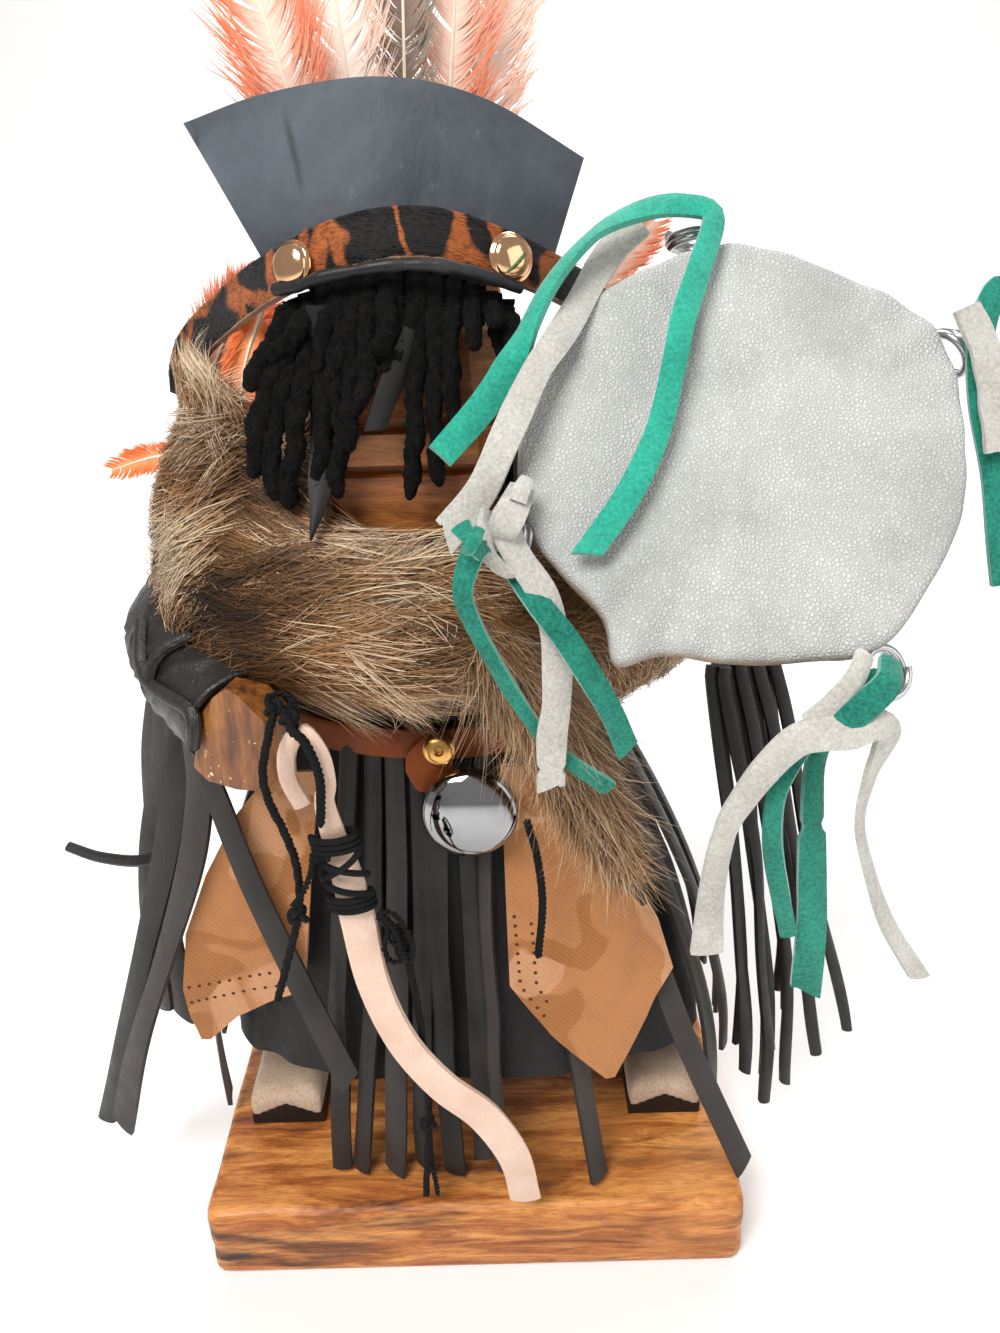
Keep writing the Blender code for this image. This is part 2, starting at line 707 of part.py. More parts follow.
def sleeve_with_pocket(name, path, radii, finish, segments=16):
    """A leather sleeve, closed at the shoulder and open at the cuff for the arm."""
    ways = tangents(path)
    rings = [ring_across(point, way, radius, segments)
             for point, way, radius in zip(path, ways, radii)]
    cuff, way = path[-1], ways[-1]
    inner = radii[-1] - SLEEVE_WALL
    rings.append(ring_across(cuff, way, inner, segments))
    rings.append(ring_across(cuff - way * POCKET_DEPTH, way, inner, segments))
    return loft(name, rings, finish)


def carved_block(name, corners):
    """The closed block that spans a set of corners."""
    mesh = bpy.data.meshes.new(name)
    block = bmesh.new()
    for corner in corners:
        block.verts.new(corner * MM)
    bmesh.ops.convex_hull(block, input=block.verts)
    block.to_mesh(mesh)
    block.free()
    return as_cutter(add_object(name, mesh, None))


def build_arm(side, shoulder_path, radii, reach, fist=()):
    """A sleeve and the carved hand that stands in its cuff, with the corners of its fist."""
    path = [Vector(point) for point in shoulder_path]
    sleeve = sleeve_with_pocket("sleeve_" + side, path, radii,
                                material("sleeve leather " + side, DARK_LEATHER, 0.45))
    way = tangents(path)[-1]
    start = path[-1] - way * (POCKET_DEPTH - CLEARANCE)
    hand_radius = radii[-1] - SLEEVE_WALL - CLEARANCE
    rings = [ring_across(start, way, hand_radius, 8, 0.5),
             ring_across(path[-1] + way * (reach - 2.2), way, hand_radius, 8, 0.5),
             ring_across(path[-1] + way * reach, way, hand_radius - 1.7, 8, 0.5)]
    hand = loft("hand_" + side, rings, material("hand wood " + side, WOOD_STAIN, 0.4), 20.0)
    if fist:
        across = way.cross(Vector((0.0, 0.0, 1.0))).normalized()
        rise = across.cross(way)
        corners = [path[-1] + way * out + across * left + rise * up for out, left, up in fist]
        corners += ring_across(path[-1] + way * 0.5, way, hand_radius - 0.3, 8, 0.5)
        boolean(hand, carved_block("block for hand " + side, corners), "UNION")
    return sleeve, hand


def build_head():
    """The carved head block, stepped at the brow, lips and chin."""
    tall = (HEAD_TOP - HEAD_BOTTOM) / 54.5
    steps = [
        (HEAD_BOTTOM, 9.0, 9.0, -9.0),
        (HEAD_BOTTOM + 9.0 * tall, 9.0, 12.0, -15.0),
        (HEAD_BOTTOM + 9.3 * tall, 8.0, 13.5, FACE_Y - 2.6),
        (HEAD_BOTTOM + 16.5 * tall, 13.0, 15.5, FACE_Y - 3.0),
        (HEAD_BOTTOM + 19.4 * tall, 12.6, 16.0, FACE_Y - 2.6),
        (HEAD_BOTTOM + 19.8 * tall, 12.0, 16.0, FACE_Y + 0.2),
        (HEAD_BOTTOM + 21.2 * tall, 12.0, 16.0, FACE_Y + 0.2),
        (HEAD_BOTTOM + 21.6 * tall, 12.4, 16.4, FACE_Y - 3.2),
        (HEAD_BOTTOM + 26.8 * tall, 12.4, 16.6, FACE_Y - 3.2),
        (HEAD_BOTTOM + 27.2 * tall, 12.0, 16.8, FACE_Y + 0.4),
        (HEAD_BOTTOM + 28.8 * tall, 12.0, 17.0, FACE_Y + 0.4),
        (HEAD_BOTTOM + 29.4 * tall, 12.0, HEAD_HALF_WIDTH, FACE_Y - 2.0),
        (HEAD_BOTTOM + 42.0 * tall, 11.0, HEAD_HALF_WIDTH, FACE_Y + 2.4),
        (HEAD_TOP - 8.0 * tall, 10.0, HEAD_HALF_WIDTH, FACE_Y + 8.0),
        (HEAD_TOP, 9.0, HEAD_HALF_WIDTH - 3.0, FACE_Y + 9.5),
    ]
    return loft("head", head_rings(steps), material("head wood", WOOD_STAIN, 0.4), 20.0)


def head_rings(steps):
    middle = lean(HEAD_BOTTOM) - HEAD_OFFSET
    rings = []
    for height, face_half, side_half, front in steps:
        back = HEAD_BACK_Y - max(0.0, HEAD_HALF_WIDTH - side_half) * 0.4
        outline = [(-face_half, front), (face_half, front), (side_half, front + 6.5),
                   (side_half, back - 7.0), (side_half * 0.55, back), (-side_half * 0.55, back),
                   (-side_half, back - 7.0), (-side_half, front + 6.5)]
        rings.append([Vector((middle + x, y, BOARD_TOP + height)) for x, y in outline])
    return rings


def room_for_head():
    """A plain shape round the head, for what is cut clear of it."""
    grow = 2.0 * CLEARANCE
    neck = (9.0 + grow, 12.0 + grow, -15.0 - grow)
    jaw = (13.0 + grow, HEAD_HALF_WIDTH + 2.0 * grow, FACE_Y - 4.0)
    steps = [(HEAD_BOTTOM - grow, *neck), (HEAD_BOTTOM + 8.0, *neck), (HEAD_BOTTOM + 9.0, *jaw),
             (HEAD_TOP + grow, *jaw)]
    room = loft("room for the head", head_rings(steps), None)
    for vertex in room.data.vertices:
        if vertex.co.y > 0.0:
            vertex.co.y += 2.0 * grow * MM
    return as_cutter(room)


def under_head_top(controls):
    """Control points whose heights are given from the head's top."""
    return [(x, y, BOARD_TOP + HEAD_TOP + height) for x, y, height in controls]


# The locs from the doll's left: sideways place at the top and at the tip, and the tip's height
# from the head's top
LOCS = ((-24.8, -32.2, -33.3), (-22.4, -28.4, -36.6), (-20.0, -25.6, -38.2), (-17.6, -20.6, -36.2),
        (-15.2, -17.9, -36.8), (-12.8, -15.4, -29.1), (-10.2, -12.9, -23.5), (-7.1, -10.3, -25.1),
        (-3.0, -5.2, -36.7), (-0.5, -0.5, -35.2), (2.4, 3.4, -27.3), (5.3, 6.7, -13.6),
        (8.1, 9.4, -10.8), (10.8, 13.9, -18.4))


def build_locs():
    """The woolly locs that hang from under the headband over the face."""
    left_end, right_end = LOCS[0][0], LOCS[-1][0]
    strips = []
    for x, x_low, low in reversed(LOCS):
        across = (x - left_end) / (right_end - left_end) * 2.0 - 1.0
        top = -4.2 - 4.8 * across * across
        drop, sideways = low - top, x_low - x
        push = -29.0 + 1.4 * across * across
        strips.append((under_head_top([(x, -23.9 + 4.6 * across * across, top),
                                       (x + sideways * 0.25, push + 1.2, top + drop * 0.3),
                                       (x + sideways * 0.6, push - 0.8, top + drop * 0.62),
                                       (x_low, push - 1.6, low)]), LOC_WIDTH, (0.0, -1.0, 0.0)))
    wool = material("black wool", (0.010, 0.010, 0.010), 0.95)
    comb("face_locs", strips, 1.6, LOC_THICKNESS, wool, rows=5)
    tab = under_head_top([(-19.0, -27.6, -7.0), (-19.2, -31.2, -18.0), (-19.6, -33.4, -29.0),
                          (-20.4, -34.6, -36.0), (-21.9, -35.6, -42.3)])
    ribbon("face_tab", tab, lambda share: (3.2 + 1.2 * share) * (1.0 - max(0.0, share - 0.74) * 3.4),
           FRINGE_LEATHER, material("face tab leather", BLACK_LEATHER, 0.5), rows=9)


def build_headband():
    hide = material("spotted hide", (0.14, 0.07, 0.03), 0.8)
    controls = under_head_top([(-49.7, 2.0, -25.0), (-48.2, 0.5, -19.3), (-44.8, -2.0, -14.6),
                               (-37.9, -7.0, -9.5), (-30.8, -13.0, -5.1), (-25.6, -17.0, -2.6),
                               (-21.9, -20.0, -1.1), (-13.9, -23.0, 1.8), (-5.2, -23.8, 3.1),
                               (2.5, -22.8, 2.3), (11.4, -19.9, -0.9), (17.6, -15.5, -3.8),
                               (24.0, -8.5, -7.6), (29.3, -1.0, -11.8), (32.8, 3.0, -15.8)])
    looks = Vector((0.0, -0.93, 0.36))
    ribbon("headband", controls, BAND_WIDTH, BAND_HIDE, hide, facing=looks, rows=25)
    tube("headband_piping", under_head_top([(-25.8, -22.0, -5.2), (-21.8, -24.2, -4.6), (-16.2, -26.2, -3.0),
                                            (-5.2, -27.4, -1.7), (3.9, -26.4, -2.5), (10.1, -23.8, -4.7),
                                            (13.4, -21.8, -6.0)]), PIPING_RADIUS,
         material("piping leather", DARK_LEATHER, 0.5), 9)
    brass = material("stud brass", BRASS, 0.22, 1.0)
    path = smooth_path(controls, 100)
    for side, x in (("left", STUD_PLACES[0]), ("right", STUD_PLACES[1])):
        index = min(range(1, 99), key=lambda place: abs(path[place].x - x))
        along = (path[index + 1] - path[index - 1]).normalized()
        out = (looks - along * looks.dot(along)).normalized()
        base = path[index] + out * (BAND_HIDE / 2.0 + CLEARANCE + STUD_SEAT)
        dome("stud_" + side, base, out, STUD_RADIUS, STUD_DOME, STUD_RIM, brass)


def build_crest():
    """The leather fan that stands behind the headband."""
    low = under_head_top([(-26.5, -12.0, -5.5), (-17.0, -16.0, -5.5), (-5.0, -18.2, -5.5), (7.0, -16.0, -5.5),
           (17.8, -11.4, -5.5)])
    high = under_head_top([(-40.4, -6.0, 19.6), (-26.2, -9.0, 23.2), (-8.0, -10.0, 25.0), (8.0, -9.0, 21.8),
            (24.4, -5.0, 13.0)])
    columns, rows = 13, 5
    bottom, top = smooth_path(low, columns), smooth_path(high, columns)
    points, faces = [], []
    for row in range(rows):
        share = row / (rows - 1)
        points += [start.lerp(end, share) for start, end in zip(bottom, top)]
    for row in range(rows - 1):
        for column in range(columns - 1):
            corner = row * columns + column
            faces.append((corner, corner + 1, corner + columns + 1, corner + columns))
    crest = mesh_object("crest", points, faces, material("crest leather", (0.075, 0.09, 0.11), 0.6))
    return solidify(crest, CREST_LEATHER)


def build_feathers():
    vane = material("feather vane", (0.80, 0.42, 0.28), 0.9)
    fans = [(-18.0, -36.0, -4.0, 70.0, 13.0), (-12.0, -20.0, -1.6, 80.0, 12.0),
            (-6.0, -4.0, 0.8, 76.0, 8.0), (0.0, 7.0, 3.2, 78.0, 12.0),
            (4.0, 15.0, 5.6, 64.0, 11.0)]
    low = BOARD_TOP + HEAD_TOP + 0.6
    for index, (x_low, x_high, y, length, width) in enumerate(fans):
        top = BOARD_TOP + HEAD_TOP + length
        controls = [(x_low, y, low), ((x_low + x_high) / 2.0 + 0.6, y + 0.6, (low + top) / 2.0),
                    (x_high, y + 5.0, top)]
        ribbon("feather_" + str(index + 1), controls,
               lambda share, w=width: w * (0.25 + 0.75 * math.sin(math.pi * min(1.0, share * 0.86 + 0.06))),
               0.7, vane, rows=9)
    ribbon("feather_left", under_head_top([(-47.0, 5.5, -26.0), (-41.0, 4.0, -15.0), (-33.0, 1.0, -6.0)]),
           lambda share: 9.0 * (0.4 + 0.6 * math.sin(math.pi * share)), 0.7, vane, rows=6)
    ribbon("feather_right", under_head_top([(27.0, 5.0, -12.0), (32.0, 4.0, -4.0), (38.0, 1.5, 3.0)]),
           lambda share: 8.0 * (0.4 + 0.6 * math.sin(math.pi * share)), 0.7, vane, rows=6)


def drum_frame():
    tilt = math.radians(DRUM_TILT)
    face = Vector((0.0, -math.cos(tilt), math.sin(tilt)))
    rise = Vector((0.0, math.sin(tilt), math.cos(tilt)))
    return Vector(DRUM_CENTRE), Vector((1.0, 0.0, 0.0)), rise, face


# Where the skin is drawn out to a ring or a tucked corner: angle, reach over the radius, sharpness
DRUM_CORNERS = ((88.0, 1.8, 9.0), (32.0, 3.2, 10.0), (-62.0, 2.6, 16.0), (-123.0, 5.6, 42.0),
                (-160.0, 1.4, 12.0))


def drum_radius(angle):
    reach = DRUM_RADIUS
    for corner, out, sharp in DRUM_CORNERS:
        away = math.radians(abs((math.degrees(angle) - corner + 180.0) % 360.0 - 180.0))
        reach += out * math.exp(-sharp * away * away)
    return reach


def drum_ring(depth, shrink, corner_share=1.0):
    centre, right, rise, face = drum_frame()
    ring = []
    for side in range(DRUM_SEGMENTS):
        angle = -math.tau * side / DRUM_SEGMENTS
        full = drum_radius(angle)
        reach = DRUM_RADIUS + (full - DRUM_RADIUS) * corner_share - shrink
        ring.append(centre + right * math.cos(angle) * reach + rise * math.sin(angle) * reach
                    - face * depth)
    return ring


def build_drum():
    """A skin drum: white leather drawn over a round frame and closed behind."""
    rings = [drum_ring(0.0, DRUM_RADIUS * 0.45, 0.0), drum_ring(0.0, DRUM_EDGE_ROUND * 2.0, 0.6),
             drum_ring(DRUM_EDGE_ROUND * 0.35, DRUM_EDGE_ROUND * 0.5),
             drum_ring(DRUM_EDGE_ROUND * 1.2, 0.0),
             drum_ring(DRUM_DEPTH * 0.5, 0.8, 0.7), drum_ring(DRUM_DEPTH - 0.8, 2.6, 0.4),
             drum_ring(DRUM_DEPTH, 5.0, 0.2), drum_ring(DRUM_DEPTH, DRUM_RADIUS * 0.6, 0.0)]
    return loft("drum", rings, material("drum skin", (0.58, 0.59, 0.56), 0.6))


def on_drum(angle, reach, depth=0.0):
    """A point in the drum's plane, at an angle and a distance from its middle."""
    centre, right, rise, face = drum_frame()
    turn = math.radians(angle)
    return centre + (right * math.cos(turn) + rise * math.sin(turn)) * reach - face * depth


def build_drum_rings(drum):
    steel = material("ring steel", STEEL, 0.25, 1.0)
    rings = []
    for name, angle, reach, depth, tip in (("ring_top", 96.0, 39.6, 5.0, 25.0),
                                           ("ring_left", -160.0, 37.4, 4.0, 70.0),
                                           ("ring_bottom", -63.0, 39.4, 3.6, 60.0),
                                           ("ring_right", 26.0, 39.0, 4.6, 65.0)):
        place = on_drum(angle, reach, depth)
        bpy.ops.mesh.primitive_torus_add(location=place * MM, major_radius=RING_RADIUS * MM,
                                         minor_radius=RING_WIRE * MM, major_segments=16,
                                         minor_segments=6, rotation=(math.radians(tip), 0.0,
                                                                     math.radians(angle + 90.0)))
        ring = bpy.context.object
        ring.name = name
        ring.data.shade_smooth()
        move_to(ring, DOLL)
        ring.data.materials.append(steel)
        cut_clear(ring, [drum])
        rings.append(ring)
    return rings


# Each lace is one thong drawn through a ring, from one end to the other
LACES = (
    ("lace_top_teal", TEAL, [(0.6, -47.0, 185.9), (7.5, -41.4, 192.4), (11.8, -36.4, 198.1),
                             (17.4, -31.0, 207.7), (24.7, -25.0, 214.4), (33.0, -21.5, 217.6),
                             (39.9, -19.5, 217.9), (43.8, -20.8, 216.2), (40.8, -27.4, 209.4),
                             (37.7, -33.2, 203.2), (35.9, -37.4, 197.4), (32.7, -44.2, 188.2),
                             (27.9, -50.4, 180.6), (21.3, -56.6, 173.6)]),
    ("lace_top_white", SUEDE_WHITE, [(32.8, -16.5, 215.2), (27.4, -20.2, 211.1), (21.4, -30.0, 203.5),
                                     (18.1, -36.0, 199.9), (14.9, -40.5, 196.4), (10.2, -47.6, 188.7),
                                     (6.3, -49.6, 181.1), (1.0, -49.8, 174.8)]),
    ("lace_left_teal", TEAL, [(25.7, -54.0, 132.5), (19.2, -54.8, 138.1), (14.8, -55.2, 143.2),
                              (10.1, -55.6, 151.2), (7.0, -56.0, 157.6), (4.7, -56.2, 162.8),
                              (3.3, -56.4, 167.5), (4.0, -56.4, 171.6), (5.8, -57.0, 175.1),
                              (8.9, -58.8, 175.0), (11.7, -59.4, 171.9), (14.7, -59.8, 167.3),
                              (18.4, -60.0, 161.6), (21.9, -59.8, 155.5), (25.2, -59.2, 149.1),
                              (27.9, -58.0, 142.0)]),
    ("lace_left_white", SUEDE_WHITE, [(9.9, -53.6, 176.4), (11.5, -54.2, 172.7), (15.3, -55.8, 166.7),
                                      (16.9, -56.8, 159.5), (17.0, -57.3, 150.5), (16.2, -57.5, 143.9),
                                      (16.1, -57.2, 135.2)]),
    ("lace_bottom_teal", TEAL, [(53.7, -66.0, 111.7), (51.2, -66.8, 120.4), (48.9, -67.4, 130.3),
                                (48.4, -68.0, 138.8), (49.8, -68.8, 145.0), (52.2, -69.6, 150.7),
                                (55.4, -70.2, 155.4), (58.7, -70.0, 158.3), (60.9, -68.2, 157.9),
                                (59.3, -66.7, 154.1), (55.9, -66.2, 149.2), (54.6, -65.8, 143.1),
                                (55.2, -65.6, 134.0), (56.4, -65.4, 122.7), (57.5, -65.2, 112.6),
                                (58.0, -65.0, 99.0)]),
    ("lace_bottom_white", SUEDE_WHITE, [(40.6, -66.6, 109.0), (40.4, -67.6, 122.2), (41.4, -68.6, 133.8),
                                        (43.6, -69.6, 140.4), (46.3, -71.2, 146.7), (49.1, -72.8, 151.4),
                                        (52.1, -73.8, 153.0), (55.9, -73.9, 153.3), (59.1, -73.6, 154.2),
                                        (61.6, -72.8, 152.4), (61.5, -71.8, 148.6), (60.9, -70.8, 143.8),
                                        (60.9, -69.8, 135.4), (64.1, -69.0, 125.5), (68.7, -68.0, 114.7),
                                        (75.6, -67.0, 103.2)]),
    ("lace_right_teal", TEAL, [(89.4, -42.6, 161.9), (86.0, -40.6, 177.9), (83.4, -37.2, 189.8),
                               (83.2, -33.4, 199.6), (86.4, -30.6, 205.4), (91.4, -31.2, 197.0),
                               (93.6, -33.4, 184.0), (92.6, -34.6, 170.0)]),
    ("lace_right_white", SUEDE_WHITE, [(79.4, -35.4, 203.4), (82.6, -38.6, 196.0), (85.4, -41.6, 183.0)]),
)


def build_laces(others):
    """The leather thongs that hang from the drum's rings."""
    for name, colour, controls in LACES:
        lace = ribbon(name, controls, LACE_WIDTH, LACE_LEATHER,
                      material(name.replace("_", " "), colour, 0.85), facing=(0.0, -0.9, 0.35), rows=18)
        cut_clear(lace, others)


LEFT_SHOULDER_PATH = ((-30.0, 5.0, 149.0), (-44.0, 1.5, 147.4), (-51.2, -9.4, 143.6),
                      (-46.4, -22.0, 140.7), (-38.2, -33.5, 136.8))
LEFT_SLEEVE_RADII = (11.5, 12.5, 12.8, 12.0, 10.4)
LEFT_HAND_REACH = 2.4
# Corners of the left fist from the middle of its cuff: out of it, to the left, and up
LEFT_FIST = ((3.1, 6.1, 8.9), (4.7, 4.4, 11.5), (6.7, 3.3, 11.1), (11.7, 0.9, 8.4), (10.2, 5.3, -6.9),
             (5.4, 8.5, -7.6), (2.6, 9.9, -5.9), (2.7, 7.8, 2.6), (1.4, 1.1, 10.4), (5.2, -3.0, 10.1),
             (9.3, -5.0, 7.4), (11.7, -5.9, 5.5), (13.6, -2.3, -3.8), (12.7, 1.8, -6.8))
RIGHT_SHOULDER_PATH = ((27.0, 5.0, 150.0), (38.0, 3.0, 151.0), (46.0, -4.0, 155.0),
                       (49.0, -14.0, 162.0), (48.0, -22.5, 169.0))
RIGHT_SLEEVE_RADII = (11.5, 12.5, 12.0, 11.0, 9.8)
RIGHT_HAND_REACH = 17.5


# The uncut leather over the strips, where they are sewn into the sleeve's under seam
SEAM_BAND = 3.0


def build_sleeve_fringes():
    """Strips cut from the under seams of both sleeves."""
    leather = material("sleeve fringe leather left", DARK_LEATHER, 0.6)
    out = Vector((-0.75, -0.66, 0.0))
    left = [([(-49.6, -27.2, 126.0), (-49.8, -28.2, 118.1), (-53.8, -28.5, 102.3), (-62.7, -28.0, 79.4),
              (-73.1, -26.5, 53.0), (-83.0, -24.5, 24.5)], 5.0, out),
            ([(-54.6, -21.4, 127.2), (-56.2, -24.0, 115.8), (-60.6, -24.3, 99.6), (-68.9, -23.6, 76.1),
              (-80.1, -21.9, 46.1), (-88.9, -20.9, 22.2)], 5.0, out),
            ([(-58.6, -15.0, 128.4), (-62.5, -14.2, 112.0), (-68.5, -12.6, 92.0), (-72.5, -11.0, 70.0),
              (-73.8, -10.0, 46.0)], 4.2, out),
            ([(-61.8, -8.2, 129.0), (-66.4, -6.4, 112.0), (-70.4, -4.0, 86.0), (-72.4, -2.0, 62.0),
              (-73.4, 0.0, 34.0)], 4.2, out)]
    comb("sleeve_fringe_left", left, SEAM_BAND, FRINGE_LEATHER, leather)
    ribbon("curled_strip", [(-55.2, -17.8, 125.6), (-56.4, -19.6, 110.0), (-60.0, -19.4, 100.0),
                            (-67.5, -17.8, 94.9), (-77.5, -15.4, 94.2), (-85.3, -13.0, 95.6)], 3.0, FRINGE_LEATHER,
           material("curled strip leather", BLACK_LEATHER, 0.5), facing=(0.1, -0.5, 0.9), rows=12)
    leather = material("sleeve fringe leather right", BLACK_LEATHER, 0.6)
    out = Vector((0.55, -0.83, 0.0))
    right = [([(50.6, -18.6, 134.0), (53.4, -20.4, 116.0), (58.6, -21.0, 88.0), (62.0, -20.0, 60.0),
               (64.4, -19.0, 30.0)], 4.0, out),
             ([(54.6, -15.4, 134.6), (58.4, -16.4, 116.0), (64.0, -16.0, 84.0), (69.0, -15.0, 52.0),
               (73.0, -14.0, 14.0)], 4.4, out),
             ([(58.4, -12.4, 135.2), (62.6, -12.4, 116.0), (68.6, -11.4, 88.0), (73.6, -10.0, 60.0),
               (76.0, -9.0, 40.0)], 4.2, out),
             ([(62.0, -9.0, 136.0), (66.6, -8.4, 116.0), (73.4, -7.0, 84.0), (81.0, -6.0, 50.0),
               (88.0, -5.0, 20.0)], 4.2, out)]
    comb("sleeve_fringe_right", right[::-1], SEAM_BAND, FRINGE_LEATHER, leather)


def build_fur(rooms):
    """The long-haired pelt worn round the shoulders, and its end that hangs down in front."""
    sections = ((0.0, 36.0, 31.0, -3.0, -5.0), (0.1, 46.0, 35.5, -2.5, -3.0),
                (0.28, 52.0, 38.0, -2.0, -1.5), (0.48, 52.5, 36.5, -1.5, 0.0),
                (0.68, 50.5, 32.0, -2.0, 1.5), (0.86, 47.5, 27.0, -2.5, 3.5),
                (1.0, 44.0, 20.5, -3.5, 5.0))
    rings = []
    for share, half_width, half_depth, x, y in sections:
        height = FUR_LOW + (FUR_HIGH - FUR_LOW) * share
        rings.append(ellipse_ring((x, y, BOARD_TOP + height), half_width, half_depth, 24, 2.3))
    fur = material("pelt", (0.19, 0.12, 0.08), 0.95)
    stole = loft("fur_stole", rings, fur)
    left, right, front, low, high = -33.0, 21.0, -15.0, 165.0, 230.0
    face_room = loft("room for the face",
                     [[Vector((left, -70.0, z)), Vector((right, -70.0, z)), Vector((right, front, z)),
                       Vector((left, front, z))] for z in (low, high)], None)
    as_cutter(face_room)
    boolean(stole, face_room, "DIFFERENCE")
    for room in rooms:
        boolean(stole, room, "DIFFERENCE")
    return stole


def build_fur_tail(neighbours):
    path = smooth_path([(5.0, -39.5, 157.0), (12.0, -43.0, 147.0), (18.0, -43.6, 135.0), (25.0, -42.0, 119.0),
                        (35.0, -38.0, 96.0)], 8)
    ways = tangents(path)
    rings = []
    for index, (point, way) in enumerate(zip(path, ways)):
        share = index / (len(path) - 1)
        wide = 3.0 + 6.0 * math.sin(math.pi * min(1.0, share * 0.8 + 0.12)) - 1.5 * share
        side = way.cross(Vector((0.0, -1.0, 0.0))).normalized()
        front = side.cross(way)
        rings.append([point + side * math.cos(math.tau * step / 10) * wide
                      - front * math.sin(math.tau * step / 10) * wide * 0.36 for step in range(10)])
    tail = loft("fur_tail", rings, material("pelt tail", (0.22, 0.14, 0.09), 0.95))
    return cut_clear(tail, neighbours)


WHIP_PATH = ((-21.6, -49.2, 127.0), (-19.6, -48.2, 113.0), (-18.4, -48.4, 103.0), (-16.6, -49.2, 88.0),
             (-12.0, -50.0, 74.0), (-5.0, -50.2, 62.6), (3.0, -50.0, 53.6), (8.8, -49.2, 41.0),
             (11.0, -47.4, 26.0))


def build_whip():
    """A cream leather whip with a looped handle, bound with black cord and hung from the hand."""
    leather = material("whip leather", (0.85, 0.72, 0.60), 0.6)
    loop = [(-26.2, -46.0, 125.5), (-28.2, -45.6, 131.0), (-27.6, -45.8, 136.6), (-24.6, -47.2, 140.6),
            (-21.6, -48.8, 137.4), (-20.8, -49.4, 132.0)]
    ribbon("whip", loop + list(WHIP_PATH), lambda share: 3.0 + 3.2 * min(1.0, max(0.0, share - 0.2) * 5.0),
           1.3, leather, facing=(0.0, -1.0, 0.1), rows=30)
    lashing = material("lashing cord", (0.012, 0.012, 0.012), 0.8)
    start, end = Vector((-20.9, -48.7, 121.6)), Vector((-18.7, -48.3, 105.4))
    way = (end - start).normalized()
    rings = []
    for place, wide, deep in ((start, 5.3, 3.1), (end, 5.3, 3.1), (end, 4.1, 1.8), (start, 4.1, 1.8)):
        side = way.cross(Vector((0.0, -1.0, 0.0))).normalized()
        front = side.cross(way)
        rings.append([place + side * math.cos(math.tau * step / 16) * wide
                      - front * math.sin(math.tau * step / 16) * deep for step in range(16)])
    closed_band("whip_lashing", rings, lashing)
    cord = material("whip cord", (0.012, 0.012, 0.012), 0.8)
    tube("whip_cord_left", [(-30.6, -41.9, 144.6), (-28.9, -45.8, 144.6), (-29.6, -49.0, 141.0),
                            (-30.8, -51.0, 135.4), (-30.2, -51.6, 130.0), (-28.4, -51.6, 124.0),
                            (-27.3, -51.0, 116.5), (-28.2, -49.8, 106.3), (-32.1, -47.6, 93.1),
                            (-35.7, -45.6, 81.6)], CORD_RADIUS, cord, 21)
    tube("whip_cord_right", [(-26.6, -45.0, 144.2), (-25.6, -49.8, 142.8), (-23.2, -51.4, 141.1),
                             (-21.5, -51.7, 135.1), (-21.8, -51.5, 129.1), (-22.4, -51.0, 125.0)],
         CORD_RADIUS, cord, 11)
    tube("whip_cord_tail", [(-14.0, -51.6, 106.0), (-10.4, -49.8, 98.0), (-8.6, -47.4, 77.0),
                            (-8.4, -45.4, 53.0), (-10.6, -43.6, 23.0)], CORD_RADIUS, cord, 15)


def closed_band(name, rings, finish):
    """A ring-shaped solid whose loops run round outside and back inside."""
    size, count = len(rings[0]), len(rings)
    points = [point for ring in rings for point in ring]
    faces = []
    for level in range(count):
        low, high = level * size, (level + 1) % count * size
        for side in range(size):
            follow = (side + 1) % size
            faces.append((low + side, low + follow, high + follow, high + side))
    return mesh_object(name, points, faces, finish)


def build_all():
    build_plinth()
    for side, sign in (("left", -1.0), ("right", 1.0)):
        build_foot(side, sign * BOOT_SPACING / 2.0)
    tunic = build_tunic()
    build_skirt()
    build_skirt_fringe()
    build_panels()
    build_cross_strap()
    build_belt()
    build_concho()
    build_head()
    build_locs()
    build_headband()
    build_crest()
    build_feathers()
    drum = build_drum()
    rings = build_drum_rings(drum)
    sleeve_left, hand_left = build_arm("left", LEFT_SHOULDER_PATH, LEFT_SLEEVE_RADII, LEFT_HAND_REACH,
                                       LEFT_FIST)
    sleeve_right, hand_right = build_arm("right", RIGHT_SHOULDER_PATH, RIGHT_SLEEVE_RADII,
                                         RIGHT_HAND_REACH)
    rooms = [grown_copy(item, 2.0 * CLEARANCE)
             for item in (tunic, sleeve_left, hand_left, sleeve_right, hand_right, drum)]
    cut_clear(sleeve_left, [tunic])
    cut_clear(sleeve_right, [tunic])
    cut_clear(hand_right, [drum])
    build_sleeve_fringes()
    stole = build_fur(rooms + [room_for_head()])
    build_fur_tail([stole])
    build_whip()
    build_laces([drum] + rings)


build_all()
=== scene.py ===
"""The shaman doll's looks: leather, suede, fur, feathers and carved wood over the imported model.

Lengths are in millimetres until a mesh is made.
"""

import math

import bpy
import numpy as np
from mathutils import Matrix, Vector, noise


